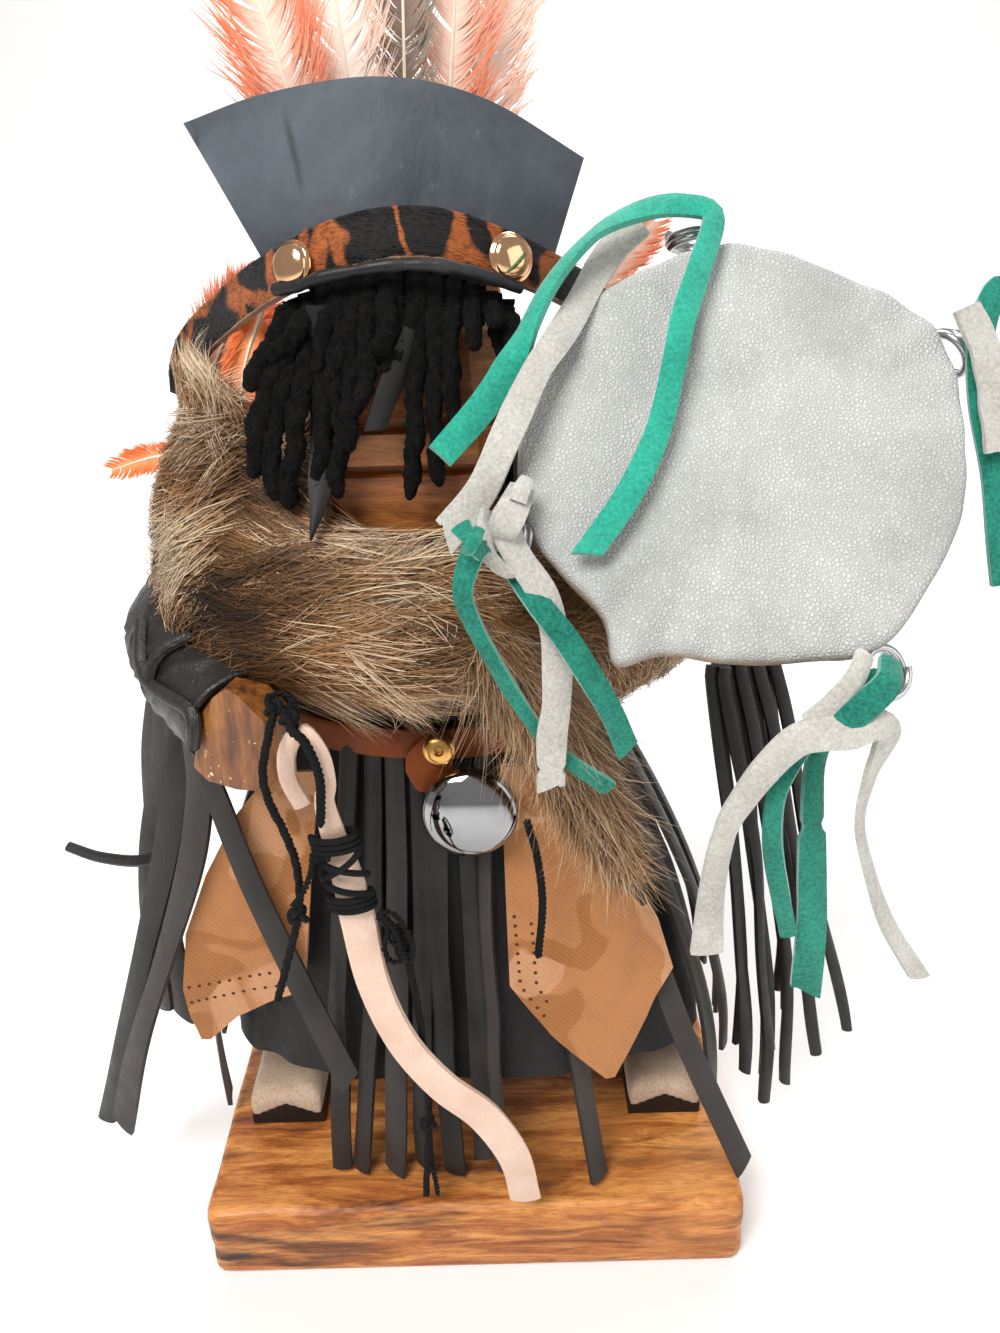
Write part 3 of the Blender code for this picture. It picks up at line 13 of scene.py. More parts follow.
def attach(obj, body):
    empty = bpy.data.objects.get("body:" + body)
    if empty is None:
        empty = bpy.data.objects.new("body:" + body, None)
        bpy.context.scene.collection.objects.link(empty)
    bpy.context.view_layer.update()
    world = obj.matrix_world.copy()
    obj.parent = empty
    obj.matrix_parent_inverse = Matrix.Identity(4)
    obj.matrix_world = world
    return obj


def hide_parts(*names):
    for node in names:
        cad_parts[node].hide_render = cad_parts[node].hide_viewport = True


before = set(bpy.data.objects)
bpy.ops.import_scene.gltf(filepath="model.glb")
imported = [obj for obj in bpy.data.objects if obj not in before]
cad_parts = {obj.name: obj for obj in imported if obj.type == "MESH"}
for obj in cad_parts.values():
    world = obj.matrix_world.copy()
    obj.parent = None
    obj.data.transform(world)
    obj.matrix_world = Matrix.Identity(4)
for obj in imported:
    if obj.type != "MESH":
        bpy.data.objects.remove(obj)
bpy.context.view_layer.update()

MM = 0.001
BOARD_TOP = 19.0
UP = np.array((0.0, 0.0, 1.0))
FRONT = np.array((0.0, -1.0, 0.0))


# Camera
CAMERA_PLACE = (8.5, -193.0, 221.0)
CAMERA_PITCH = 25.4
CAMERA_ROLL = -1.5
FOCAL_PIXELS = 1008.0
PHOTO_HEIGHT = 1333.0


def make_camera():
    pitch, roll = math.radians(CAMERA_PITCH), math.radians(CAMERA_ROLL)
    forward = Vector((0.0, math.cos(pitch), -math.sin(pitch)))
    right = Vector((1.0, 0.0, 0.0))
    up = right.cross(forward)
    across = right * math.cos(roll) + up * math.sin(roll)
    rise = up * math.cos(roll) - right * math.sin(roll)
    data = bpy.data.cameras.new("camera")
    data.sensor_width = 36.0
    data.lens = FOCAL_PIXELS / PHOTO_HEIGHT * data.sensor_width
    data.clip_start = 0.005
    camera = bpy.data.objects.new("camera", data)
    bpy.context.scene.collection.objects.link(camera)
    place = Vector(CAMERA_PLACE) * MM
    camera.matrix_world = Matrix(((across.x, rise.x, -forward.x, place.x),
                                  (across.y, rise.y, -forward.y, place.y),
                                  (across.z, rise.z, -forward.z, place.z),
                                  (0.0, 0.0, 0.0, 1.0)))
    bpy.context.scene.camera = camera


make_camera()


# Materials
def rgb(red, green, blue):
    """A linear colour from the values seen on a screen."""
    seen = [value / 255.0 for value in (red, green, blue)]
    return (*[v / 12.92 if v <= 0.04 else ((v + 0.055) / 1.055) ** 2.4 for v in seen], 1.0)


class Look:
    """A material made of nodes, with the whole object's own coordinates in metres."""

    def __init__(self, name, roughness=0.6, metallic=0.0, **fixed):
        self.material = bpy.data.materials.new(name)
        self.material.use_nodes = True
        self.tree = self.material.node_tree
        self.shader = self.tree.nodes["Principled BSDF"]
        self.where = self.tree.nodes.new("ShaderNodeTexCoord").outputs["Object"]
        self.set(Roughness=roughness, Metallic=metallic, **fixed)

    def set(self, **values):
        for name, value in values.items():
            self.join(self.shader.inputs[name.replace("_", " ")], value)

    def join(self, socket, value):
        if isinstance(value, bpy.types.NodeSocket):
            self.tree.links.new(value, socket)
        else:
            socket.default_value = value

    def node(self, kind, sockets, out=0, **settings):
        made = self.tree.nodes.new("ShaderNode" + kind)
        for name, value in settings.items():
            setattr(made, name, value)
        for name, value in sockets.items():
            self.join(made.inputs[name], value)
        return made.outputs[out]

    def stretched(self, x, y, z, turn=(0.0, 0.0, 0.0), at=None):
        return self.node("Mapping", {"Vector": at or self.where, "Scale": (x, y, z), "Rotation": turn})

    def noise(self, scale, detail=3.0, rough=0.55, at=None, bend=0.0):
        return self.node("TexNoise", {"Vector": at or self.where, "Scale": scale, "Detail": detail,
                                      "Roughness": rough, "Distortion": bend})

    def cells(self, scale, feature="F1", at=None, out="Distance"):
        return self.node("TexVoronoi", {"Vector": at or self.where, "Scale": scale}, out, feature=feature)

    def ramp(self, share, *stops):
        made = self.tree.nodes.new("ShaderNodeValToRGB")
        self.tree.links.new(share, made.inputs[0])
        points = made.color_ramp.elements
        while len(points) < len(stops):
            points.new(0.5)
        for point, (place, colour) in zip(points, stops):
            point.position = place
            point.color = colour if isinstance(colour, tuple) else (colour, colour, colour, 1.0)
        return made.outputs[0]

    def mix(self, share, first, second, blend="MIX"):
        made = self.tree.nodes.new("ShaderNodeMix")
        made.data_type = "RGBA"
        made.blend_type = blend
        for index, value in ((0, share), (6, first), (7, second)):
            self.join(made.inputs[index], value)
        return made.outputs[2]

    def maths(self, action, first, second=0.5, clamp=False):
        return self.node("Math", {0: first, 1: second}, operation=action, use_clamp=clamp)

    def times(self, first, second):
        return self.maths("MULTIPLY", first, second)

    def plus(self, first, second):
        return self.maths("ADD", first, second)

    def warped(self, scale, amount):
        """The object's own coordinates, pushed about by noise."""
        push = self.node("TexNoise", {"Vector": self.where, "Scale": scale}, 1)
        push = self.node("VectorMath", {0: push, "Scale": amount}, operation="SCALE")
        return self.node("VectorMath", {0: self.where, 1: push}, operation="ADD")

    def band(self, value, low, high):
        """0 below low and 1 above high."""
        return self.node("MapRange", {"Value": value, "From Min": low, "From Max": high})

    def bump(self, height, strength, depth, over=None):
        sockets = {"Height": height, "Strength": strength, "Distance": depth * MM}
        if over is not None:
            sockets["Normal"] = over
        result = self.node("Bump", sockets)
        self.set(Normal=result)
        return result

    def tone(self):
        return self.node("Attribute", {}, "Fac", attribute_name="tone")


def leather(name, dark, light, roughness=0.48, grain=1500.0, crease=1.0, wear=None):
    """Grained leather: pebbles, creases, and a colour that shifts from strip to strip."""
    look = Look(name, Specular_IOR_Level=0.32)
    soft = look.noise(60.0, 4.0, 0.6)
    share = look.plus(look.times(soft, 0.7), look.times(look.tone(), 0.55))
    colour = look.ramp(share, (0.25, dark), (0.85, light))
    if wear:
        scuffs = look.band(look.noise(420.0, 5.0, 0.7), 0.62, 0.78)
        colour = look.mix(look.times(scuffs, 0.5), colour, wear)
    polish = look.ramp(look.noise(240.0), (0.3, roughness - 0.09), (0.8, roughness + 0.12))
    look.set(Base_Color=colour, Roughness=polish)
    pebbles = look.cells(grain, "DISTANCE_TO_EDGE")
    first = look.bump(look.band(pebbles, 0.0, 0.12), 0.25 * crease, 0.12)
    wrinkles = look.noise(150.0, 5.0, 0.65, look.stretched(1.0, 1.0, 0.45), 0.8)
    look.bump(wrinkles, 0.55 * crease, 0.5, first)
    return look.material


def suede(name, dark, light, nap=0.35):
    """Brushed hide: no shine, a soft nap and faint blotches."""
    look = Look(name, 0.95, Sheen_Weight=nap, Sheen_Roughness=0.5, Specular_IOR_Level=0.2)
    fine = look.noise(1800.0, 3.0, 0.7)
    blotch = look.noise(110.0, 4.0, 0.6)
    share = look.plus(look.times(fine, 0.6), look.times(blotch, 0.4))
    look.set(Base_Color=look.ramp(share, (0.32, dark), (0.66, light)))
    first = look.bump(fine, 0.5, 0.16)
    look.bump(look.noise(380.0, 3.0), 0.35, 0.35, first)
    return look.material


def stained_wood(name, stain, light, dark, stretch=(1.0, 9.0, 9.0), gloss=0.42, streaks=1.0):
    """Stained timber with its grain along the least stretched way."""
    look = Look(name, Coat_Weight=0.12, Coat_Roughness=0.3)
    long_way = look.stretched(*stretch)
    grain = look.noise(38.0, 6.0, 0.68, long_way, 0.6)
    fibres = look.noise(210.0, 3.0, 0.6, look.stretched(*[v * 1.6 for v in stretch]))
    colour = look.ramp(grain, (0.28, dark), (0.45, stain), (0.62, light), (0.8, stain))
    streak = look.band(look.noise(16.0, 5.0, 0.7, long_way), 0.52, 0.68)
    colour = look.mix(look.times(streak, 0.75 * streaks), colour, dark)
    blotch = look.band(look.noise(26.0, 3.0, 0.6), 0.55, 0.75)
    colour = look.mix(look.times(blotch, 0.4 * streaks), colour, light)
    colour = look.mix(look.times(look.band(fibres, 0.5, 0.72), 0.4), colour, dark)
    look.set(Base_Color=colour, Roughness=look.ramp(grain, (0.3, gloss + 0.16), (0.7, gloss)))
    look.bump(look.plus(fibres, look.times(grain, 0.8)), 0.45, 0.3)
    return look.material


def metal(name, colour, roughness, scratch=0.15):
    look = Look(name, roughness, 1.0, Base_Color=colour)
    fine = look.noise(900.0, 4.0, 0.7)
    look.set(Roughness=look.ramp(fine, (0.3, max(roughness - 0.03, 0.02)), (0.8, roughness + scratch)))
    look.set(Base_Color=look.mix(look.band(look.noise(160.0, 4.0), 0.5, 0.8), colour,
                                 tuple(c * 0.72 for c in colour[:3]) + (1.0,)))
    look.bump(fine, 0.06, 0.05)
    return look.material


def strands(name, root, middle, tip, roughness=0.6):
    """Hair or barbs, coloured along their length by the tone of each point."""
    look = Look(name, roughness, Specular_IOR_Level=0.2)
    colour = look.ramp(look.tone(), (0.0, root), (0.45, middle), (1.0, tip))
    patch = look.band(look.noise(34.0, 3.0), 0.42, 0.7)
    colour = look.mix(look.times(patch, 0.45), colour, root)
    look.set(Base_Color=colour)
    return look.material


# Shapes
def run(controls, count):
    """Evenly spaced points on a smooth curve through the controls."""
    p = np.array(controls, float)
    if len(p) == 2:
        p = np.array((p[0], (p[0] + p[1]) / 2.0, p[1]))
    p = np.vstack((2.0 * p[0] - p[1], p, 2.0 * p[-1] - p[-2]))
    t = np.linspace(0.0, 1.0, 24, endpoint=False)[:, None]
    dense = []
    for a, b, c, d in zip(p, p[1:], p[2:], p[3:]):
        dense.append(0.5 * (2.0 * b + (c - a) * t + (2.0 * a - 5.0 * b + 4.0 * c - d) * t * t
                            + (3.0 * b - a - 3.0 * c + d) * t ** 3))
    dense = np.vstack(dense + [p[-2][None]])
    along = distances(dense)
    wanted = np.linspace(0.0, along[-1], count)
    return np.stack([np.interp(wanted, along, dense[:, axis]) for axis in range(3)], 1)


def distances(path):
    """How far along a path each of its points lies."""
    return np.concatenate(([0.0], np.cumsum(np.linalg.norm(np.diff(path, axis=0), axis=1))))


def wobble(x, y, z):
    """Smooth noise between about -1 and 1."""
    return noise.noise(Vector((x, y, z)))


def unit(vectors):
    return vectors / np.maximum(np.linalg.norm(vectors, axis=-1, keepdims=True), 1e-9)


def ways(path):
    return unit(np.gradient(path, axis=0))


def frames(path, facing):
    """Side and face vectors along a path, its face kept towards facing."""
    along = ways(path)
    face = np.broadcast_to(np.asarray(facing, float), path.shape)
    side = np.cross(along, face)
    side = unit(np.where(np.linalg.norm(side, axis=1, keepdims=True) < 0.05,
                         np.cross(along, UP + 0.1), side))
    return side, np.cross(side, along)


def carried(path, start=(0.3, -1.0, 0.2)):
    """Side and face vectors carried along a path without twist."""
    along = ways(path)
    side = np.cross(along[0], np.array(start))
    side /= np.linalg.norm(side)
    sides = []
    for way in along:
        side = side - way * side.dot(way)
        side /= np.linalg.norm(side)
        sides.append(side)
    sides = np.array(sides)
    return sides, np.cross(sides, along)


class Shape:
    """Points and faces gathered for one piece."""

    def __init__(self):
        self.points, self.faces, self.tones, self.slots = [], [], [], []
        self.count = 0

    def add(self, points, faces, tone=0.0, slots=0):
        points = np.asarray(points, float).reshape(-1, 3)
        self.faces += [tuple(int(corner) + self.count for corner in face) for face in faces]
        self.points.append(points)
        self.tones.append(np.broadcast_to(np.asarray(tone, float), (len(points),)))
        self.slots += [slots] * len(faces) if isinstance(slots, int) else list(slots)
        self.count += len(points)

    def rings(self, rings, tone=0.0, slots=0, closed=False, capped=True):
        """Skin over rings of equally many points; slots may give one material for each side."""
        rings = np.asarray(rings, float)
        count, size = rings.shape[:2]
        faces, chosen = [], []
        for level in range(count if closed else count - 1):
            low, high = level * size, (level + 1) % count * size
            for side in range(size):
                follow = (side + 1) % size
                faces.append((low + side, low + follow, high + follow, high + side))
                chosen.append(slots if isinstance(slots, int) else slots[side])
        if capped and not closed:
            faces += [tuple(reversed(range(size))), tuple(range((count - 1) * size, count * size))]
            chosen += [slots if isinstance(slots, int) else slots[-1]] * 2
        tone = np.asarray(tone, float)
        if tone.ndim == 1:
            tone = np.repeat(tone, size)
        tone = tone.ravel() if tone.ndim else tone
        self.add(rings, faces, tone, chosen)

    def tube(self, path, radius, sides=8, tone=0.0, slot=0, squash=1.0, facing=None):
        path = np.asarray(path, float)
        side, face = carried(path) if facing is None else frames(path, facing)
        angle = np.linspace(0.0, math.tau, sides, endpoint=False)
        radius = np.broadcast_to(np.asarray(radius, float), (len(path),))[:, None, None]
        ring = (side[:, None] * np.cos(angle)[None, :, None]
                - face[:, None] * np.sin(angle)[None, :, None] * squash)
        self.rings(path[:, None] + ring * radius, tone, slot)

    def strap(self, path, width, thickness, facing, tone=0.0, cup=0.0, twist=0.0, slots=(0, 0, 0),
              slant=0.0):
        """A strip of leather: its face, its back and its cut edges may be three materials."""
        path = np.asarray(path, float)
        side, face = frames(path, facing)
        turn = np.broadcast_to(np.asarray(twist, float), (len(path),))[:, None]
        side, face = side * np.cos(turn) + face * np.sin(turn), face * np.cos(turn) - side * np.sin(turn)
        half = np.broadcast_to(np.asarray(width, float), (len(path),)) / 2.0
        across = np.array((-1.0, -0.55, 0.0, 0.55, 1.0))
        bend = np.broadcast_to(np.asarray(cup, float), (len(path),))
        rows = []
        for index in range(len(path)):
            lift = -bend[index] * across ** 2
            edge = np.where(np.abs(across) > 0.9, 0.42, 0.5) * thickness
            reach = across * half[index]
            drop = slant * across * half[index] if index == len(path) - 1 else 0.0 * across
            along = ways(path)[index]
            base = path[index] + side[index] * reach[:, None] + along * drop[:, None]
            top = base + face[index] * (lift + edge)[:, None]
            back = base + face[index] * (lift - edge)[:, None]
            rows.append(np.vstack((top, back[::-1])))
        sides = (slots[0],) * 4 + (slots[2],) + (slots[1],) * 4 + (slots[2],)
        self.rings([row[::-1] for row in rows], tone, sides[::-1][1:] + sides[::-1][:1])

    def made(self, name, materials, replaced=(), slot=None, sharp=35.0):
        mesh = bpy.data.meshes.new(name)
        mesh.from_pydata((np.vstack(self.points) * MM).tolist(), [], self.faces)
        mesh.polygons.foreach_set("material_index", self.slots)
        mesh.attributes.new("tone", "FLOAT", "POINT").data.foreach_set("value", np.concatenate(self.tones))
        mesh.update()
        mesh.shade_smooth()
        mesh.set_sharp_from_angle(angle=math.radians(sharp))
        for material in materials:
            mesh.materials.append(material)
        return placed(bpy.data.objects.new(name, mesh), replaced)


def placed(item, replaced):
    bpy.context.scene.collection.objects.link(item)
    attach(item, "root")
    if replaced:
        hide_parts(*replaced)
    return item


def hairs(name, roots, tips_path, widths, tones, material, replaced=()):
    """Flat tapering strands. tips_path is strands x points x 3; widths and tones are for each point,
    of every strand or of all alike."""
    path = np.asarray(tips_path, float)
    count, steps = path.shape[:2]
    widths, tones = [np.broadcast_to(np.asarray(values, float), (count, steps))
                     for values in (widths, tones)]
    along = unit(np.gradient(path, axis=1))
    side = unit(np.cross(along, roots[:, None]))
    half = widths[..., None] / 2.0
    left, right = path - side * half, path + side * half
    points = np.stack((left, right), 2).reshape(-1, 3) * MM
    base = (np.arange(count)[:, None] * steps + np.arange(steps - 1)[None]) * 2
    faces = np.stack((base, base + 1, base + 3, base + 2), -1).reshape(-1, 4)
    mesh = bpy.data.meshes.new(name)
    mesh.vertices.add(len(points))
    mesh.vertices.foreach_set("co", points.astype(np.float32).ravel())
    mesh.loops.add(faces.size)
    mesh.loops.foreach_set("vertex_index", faces.astype(np.int32).ravel())
    mesh.polygons.add(len(faces))
    mesh.polygons.foreach_set("loop_start", np.arange(0, faces.size, 4, dtype=np.int32))
    mesh.attributes.new("tone", "FLOAT", "POINT").data.foreach_set(
        "value", np.repeat(tones.astype(np.float32).ravel(), 2))
    mesh.update(calc_edges=True)
    mesh.shade_smooth()
    mesh.materials.append(material)
    return placed(bpy.data.objects.new(name, mesh), replaced)


def finish_node(node, material, bevel=0.0, smooth=30.0):
    """Give a CAD node its material, and soften its edges."""
    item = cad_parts[node]
    item.data.materials.clear()
    item.data.materials.append(material)
    if bevel:
        edge = item.modifiers.new("worn edges", "BEVEL")
        edge.width = bevel * MM
        edge.segments = 3
        edge.limit_method = "ANGLE"
        edge.angle_limit = math.radians(smooth)
        edge.use_clamp_overlap = True
        edge.harden_normals = False
    return item


STRIP_LEATHER = leather("strip leather", rgb(20, 18, 17), rgb(64, 58, 54), 0.5, 1500.0, 1.0)
SKIRT_LEATHER = leather("skirt leather", rgb(26, 24, 24), rgb(52, 49, 48), 0.6, 1300.0, 1.0)
BLACK_LEATHER = leather("black leather", rgb(9, 8, 8), rgb(34, 30, 28), 0.5, 1500.0, 1.0)
SLEEVE_LEATHER = leather("sleeve leather", rgb(16, 14, 13), rgb(54, 49, 46), 0.4, 1200.0, 1.3,
                         rgb(92, 85, 80))


def crest_leather():
    """Stiff slate leather: cloudy, rubbed pale in places, with a few dark cracks and faint creases."""
    look = Look("crest leather", 0.6, Specular_IOR_Level=0.3)
    clouds = look.noise(34.0, 5.0, 0.62, bend=0.4)
    colour = look.ramp(clouds, (0.3, rgb(50, 56, 62)), (0.7, rgb(88, 95, 102)))
    rubbed = look.band(look.noise(300.0, 5.0, 0.75, look.stretched(1.0, 1.0, 0.5)), 0.6, 0.8)
    colour = look.mix(look.times(rubbed, 0.35), colour, rgb(136, 140, 142))
    bent = look.stretched(1.0, 0.4, 0.42, (0.0, 0.5, 0.0))
    cracks = look.maths("SUBTRACT", 1.0, look.band(look.cells(46.0, "DISTANCE_TO_EDGE", bent), 0.0, 0.03))
    cracks = look.times(cracks, look.band(look.noise(52.0, 2.0), 0.56, 0.66))
    look.set(Base_Color=look.mix(look.times(cracks, 0.7), colour, rgb(26, 28, 30)))
    first = look.bump(look.noise(1300.0, 3.0, 0.7), 0.4, 0.12)
    second = look.bump(cracks, -0.6, 0.4, first)
    look.bump(look.noise(85.0, 4.0, 0.6, look.stretched(1.6, 1.0, 0.6), 0.6), 0.5, 0.9, second)
    return look.material


CREST_LEATHER = crest_leather()
BELT_LEATHER = leather("belt leather", rgb(102, 40, 0), rgb(180, 90, 4), 0.55, 1600.0, 0.8)
TAB_LEATHER = leather("tab leather", rgb(12, 11, 11), rgb(38, 36, 35), 0.55, 1500.0, 0.6)
PIPING_LEATHER = leather("piping leather", rgb(26, 25, 27), rgb(76, 75, 78), 0.45, 1500.0, 0.6)


def drum_skin():
    """White leather with a hard pebble grain, the hollows between its pebbles darkened as painted shade,
    and browner on the drum's wall as painted shade that is strongest on the lower rim.
    """
    look = Look("drum skin", 0.68, Specular_IOR_Level=0.3)
    colour = look.ramp(look.noise(45.0, 4.0, 0.6), (0.3, rgb(178, 179, 175)), (0.75, rgb(214, 214, 210)))
    pebbles = look.cells(1650.0, "DISTANCE_TO_EDGE", look.warped(240.0, 0.0006))
    # The hollows between the pebbles are coloured darker: painted shade in the grain.
    groove_shade = look.maths("SUBTRACT", 1.0, look.band(pebbles, 0.02, 0.2))
    colour = look.mix(look.times(groove_shade, 0.34), colour, rgb(136, 136, 130))
    # The wall's brown, mixed in by the tone attribute, is painted shade on the rim.
    wall = look.ramp(look.noise(260.0, 4.0), (0.3, rgb(112, 90, 72)), (0.7, rgb(172, 148, 126)))
    look.set(Base_Color=look.mix(look.tone(), colour, wall))
    first = look.bump(look.band(pebbles, 0.0, 0.3), 0.7, 0.3)
    look.bump(look.noise(120.0, 4.0, 0.6), 0.35, 0.6, first)
    return look.material


DRUM_LEATHER = drum_skin()
TEAL_SUEDE = suede("teal suede", rgb(18, 120, 100), rgb(52, 178, 152))
TEAL_FELT = suede("teal felt", rgb(12, 74, 66), rgb(44, 148, 124), 0.2)
TEAL_BACK = suede("teal suede back", rgb(36, 118, 98), rgb(70, 160, 138), 0.5)
WHITE_SUEDE = suede("white suede", rgb(154, 150, 142), rgb(206, 202, 194))
CREAM_SUEDE = suede("cream suede", rgb(158, 130, 106), rgb(208, 184, 160))
WHIP_LEATHER = leather("whip leather", rgb(196, 148, 126), rgb(238, 212, 192), 0.66, 900.0, 1.9)
BLACK_SOLE = leather("black sole", rgb(22, 18, 16), rgb(48, 40, 36), 0.5, 700.0, 1.0)
BLACK_CORD = Look("black cord", 0.8, Base_Color=rgb(10, 9, 9), Specular_IOR_Level=0.25)
BLACK_CORD.bump(BLACK_CORD.noise(1800.0, 4.0, 0.7), 0.6, 0.2)
BLACK_CORD = BLACK_CORD.material
BRASS = metal("brass", rgb(222, 168, 96), 0.2)
STUD_METAL = metal("stud metal", rgb(238, 186, 142), 0.1, 0.08)
STEEL = metal("steel", rgb(190, 190, 192), 0.22)
CHROME = metal("chrome", rgb(164, 164, 166), 0.06, 0.06)
BOARD_WOOD = stained_wood("board wood", rgb(166, 90, 30), rgb(222, 150, 76), rgb(48, 23, 8),
                          (1.0, 6.0, 8.0), 0.46, 1.3)
HEAD_WOOD = stained_wood("head wood", rgb(150, 84, 34), rgb(190, 120, 58), rgb(76, 38, 12),
                         (1.0, 5.0, 7.0), 0.4, 0.5)


def hand_wood():
    """Roughly sawn, stained wood with pale chips."""
    look = Look("hand wood", 0.4, Coat_Weight=0.15, Coat_Roughness=0.3)
    saw = look.noise(90.0, 5.0, 0.65, look.stretched(5.0, 5.0, 0.8, (0.0, 0.35, 0.0)))
    colour = look.ramp(saw, (0.3, rgb(66, 34, 12)), (0.5, rgb(124, 72, 28)), (0.72, rgb(172, 112, 54)))
    stain = look.band(look.noise(70.0, 3.0, 0.6), 0.5, 0.72)
    colour = look.mix(look.times(stain, 0.5), colour, rgb(74, 38, 12))
    chips = look.band(look.noise(620.0, 2.0, 0.5), 0.69, 0.73)
    look.set(Base_Color=look.mix(chips, colour, rgb(226, 196, 148)))
    look.bump(look.plus(saw, chips), 0.6, 0.35)
    return look.material


HAND_WOOD = hand_wood()


# Torso layers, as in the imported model
TORSO_LEAN = 5.0
SHOULDER_HEIGHT = 137.0
WAIST_HEIGHT = 105.5
WAIST_HALF = np.array((31.0, 19.0))
BELT_WIDTH = 6.4
BELT_LOW = WAIST_HEIGHT - BELT_WIDTH / 2.0
HEM_HEIGHT = 24.0
HEM_HALF = np.array((56.0, 30.0))
SQUARENESS = 2.7
SKIRT_OFFSET = 1.05
STRIP_OFFSET = 2.75
PANEL_OFFSET = 4.6
BELT_OFFSET = 4.55


def lean(height):
    return -TORSO_LEAN * max(height, 0.0) / SHOULDER_HEIGHT


def skirt_drop(height):
    """0 at the belt and 1 at the hem."""
    return min(max((BELT_LOW - height) / (BELT_LOW - HEM_HEIGHT), 0.0), 1.0)


def skirt_half(height):
    top, drop = WAIST_HALF + SKIRT_OFFSET, skirt_drop(height)
    spread = math.sin(drop * math.pi / 2.0) * 0.75 + drop * 0.25
    return top[0] + (HEM_HALF[0] - top[0]) * spread, top[1] + (HEM_HALF[1] - top[1]) * drop


def skirt_front(x, height, offset):
    half_width, half_depth = skirt_half(height)
    place = min(abs(x - lean(height)) / (half_width + offset), 0.97)
    return -(half_depth + offset) * (1.0 - place ** SQUARENESS) ** (1.0 / SQUARENESS)


def skirt_point(angle, height, grow):
    """A point round the skirt, at an angle from the doll's left side and a height over the board."""
    half_width, half_depth = skirt_half(max(height, HEM_HEIGHT))
    drop = skirt_drop(height)
    power = 2.0 / (2.0 + (SQUARENESS - 2.0) * drop)
    c, s = math.cos(angle), math.sin(angle)
    return np.array((math.copysign(abs(c) ** power, c) * (half_width + grow) + lean(height),
                     math.copysign(abs(s) ** power, s) * (half_depth + grow), BOARD_TOP + height))


# The board's half sizes, its corners' radius, and its edge: heights and how far the edge stands in there
BOARD_HALF = (60.0, 45.0)
BOARD_CORNER = 3.0
BOARD_EDGE = (
    (0.0, 1.6), (0.5, 0.5), (1.6, 0.0), (4.0, 0.0), (7.0, 0.0), (10.0, 0.0), (13.0, 0.0), (16.4, 0.1),
    (17.6, 0.35), (18.4, 0.9), (18.85, 1.7), (19.0, 3.0), (19.0, 8.0), (19.0, 20.0), (19.0, 38.0),
)


def make_board():
    """The stained board: hand-cut, with soft uneven edges."""
    shape = Shape()
    rings = []
    count = 60
    for z, inset in BOARD_EDGE:
        ring = []
        for start, end in (((-1, -1), (1, -1)), ((1, -1), (1, 1)), ((1, 1), (-1, 1)), ((-1, 1), (-1, -1))):
            for step in range(count):
                spot = [(a + (b - a) * step / count) * half for a, b, half in zip(start, end, BOARD_HALF)]
                over = [max(0.0, abs(v) - (half - BOARD_CORNER)) for v, half in zip(spot, BOARD_HALF)]
                reach = math.hypot(*over)
                if reach > BOARD_CORNER:
                    spot = [math.copysign(half - BOARD_CORNER + past * BOARD_CORNER / reach, v)
                            for v, half, past in zip(spot, BOARD_HALF, over)]
                wear = wobble(spot[0] * 0.09, spot[1] * 0.09, z * 0.2) * 0.5 - 0.25
                x, y = [v * (1.0 - (inset + abs(wear) * (z > 1.0)) / half) for v,
                        half in zip(spot, BOARD_HALF)]
                ring.append((x, y, min(z, BOARD_TOP)))
        rings.append(ring)
    shape.rings(rings)
    shape.made("board", [BOARD_WOOD], ["plinth"], "stained_board")


make_board()


def make_boots():
    for side in ("left", "right"):
        finish_node("sole_" + side, BLACK_SOLE, 0.6)
        boot = finish_node("boot_" + side, CREAM_SUEDE)
        merge = boot.modifiers.new("one skin", "REMESH")
        merge.mode = "VOXEL"
        merge.voxel_size = 0.9 * MM
        merge.use_smooth_shade = True
        soft = boot.modifiers.new("soft", "SMOOTH")
        soft.iterations = 6
        soft.factor = 0.5


make_boots()


def make_skirt():
    """The skirt's leather, with folds that deepen towards the hem."""
    shape = Shape()
    columns = 168
    levels = np.concatenate(([WAIST_HEIGHT + BELT_WIDTH / 2.0], np.linspace(BELT_LOW, HEM_HEIGHT, 26)))
    skins = []
    for out in (0.65, -0.65):
        rings = []
        for height in levels:
            drop = skirt_drop(height)
            ring = []
            for column in range(columns):
                angle = math.tau * column / columns
                c, s = math.cos(angle), math.sin(angle)
                fold = 0.9 * math.sin(9.0 * angle + 1.0) + 0.55 * math.sin(17.0 * angle + 2.2)
                fold = drop ** 1.3 * fold * 0.8 + wobble(c * 3.0, s * 3.0, height * 0.05) * drop
                sag = drop * wobble(c * 2.0, s * 2.0, 4.0) * 1.6
                point = skirt_point(angle, height, out - 0.3 * drop + min(fold, 0.35) - 0.2)
                point[2] += sag * (drop > 0.9)
                ring.append(point)
            rings.append(ring)
        skins.append(rings)
    shape.rings(skins[0][::-1] + skins[1], closed=True)
    shape.made("skirt_leather", [SKIRT_LEATHER], ["skirt"], "dark_leather")


make_skirt()


# Strips over the skirt's front: place at the belt and at the tip, height of the tip, width, reach forward
FRONT_STRIPS = (
    (-21.5, -31.0, 1.6, 4.0, 4.0), (-16.9, -25.5, 1.8, 3.6, 4.0), (-12.6, -18.0, 2.0, 4.0, 4.0),
    (-8.2, -12.0, 4.0, 3.6, 4.0), (-3.9, -5.0, 1.6, 4.0, 4.0), (0.4, 0.8, 6.0, 3.4, 4.0),
    (4.6, 6.2, 1.8, 3.2, 4.0), (17.0, 27.0, 1.8, 4.4, 0.4),
)
PANEL_STRIP_FLICK = 8.0
STRIPS_TOP = BELT_LOW + 3.0
STRIP_OUT = STRIP_OFFSET - SKIRT_OFFSET
STRIP_THICK = 1.25
LONG_STRIP = (
    (24.6, -17.6, 102.3), (31.0, -22.4, 81.0), (41.0, -23.6, 49.0), (48.0, -29.4, 30.0), (60.5, -37.0, 1.8),
)
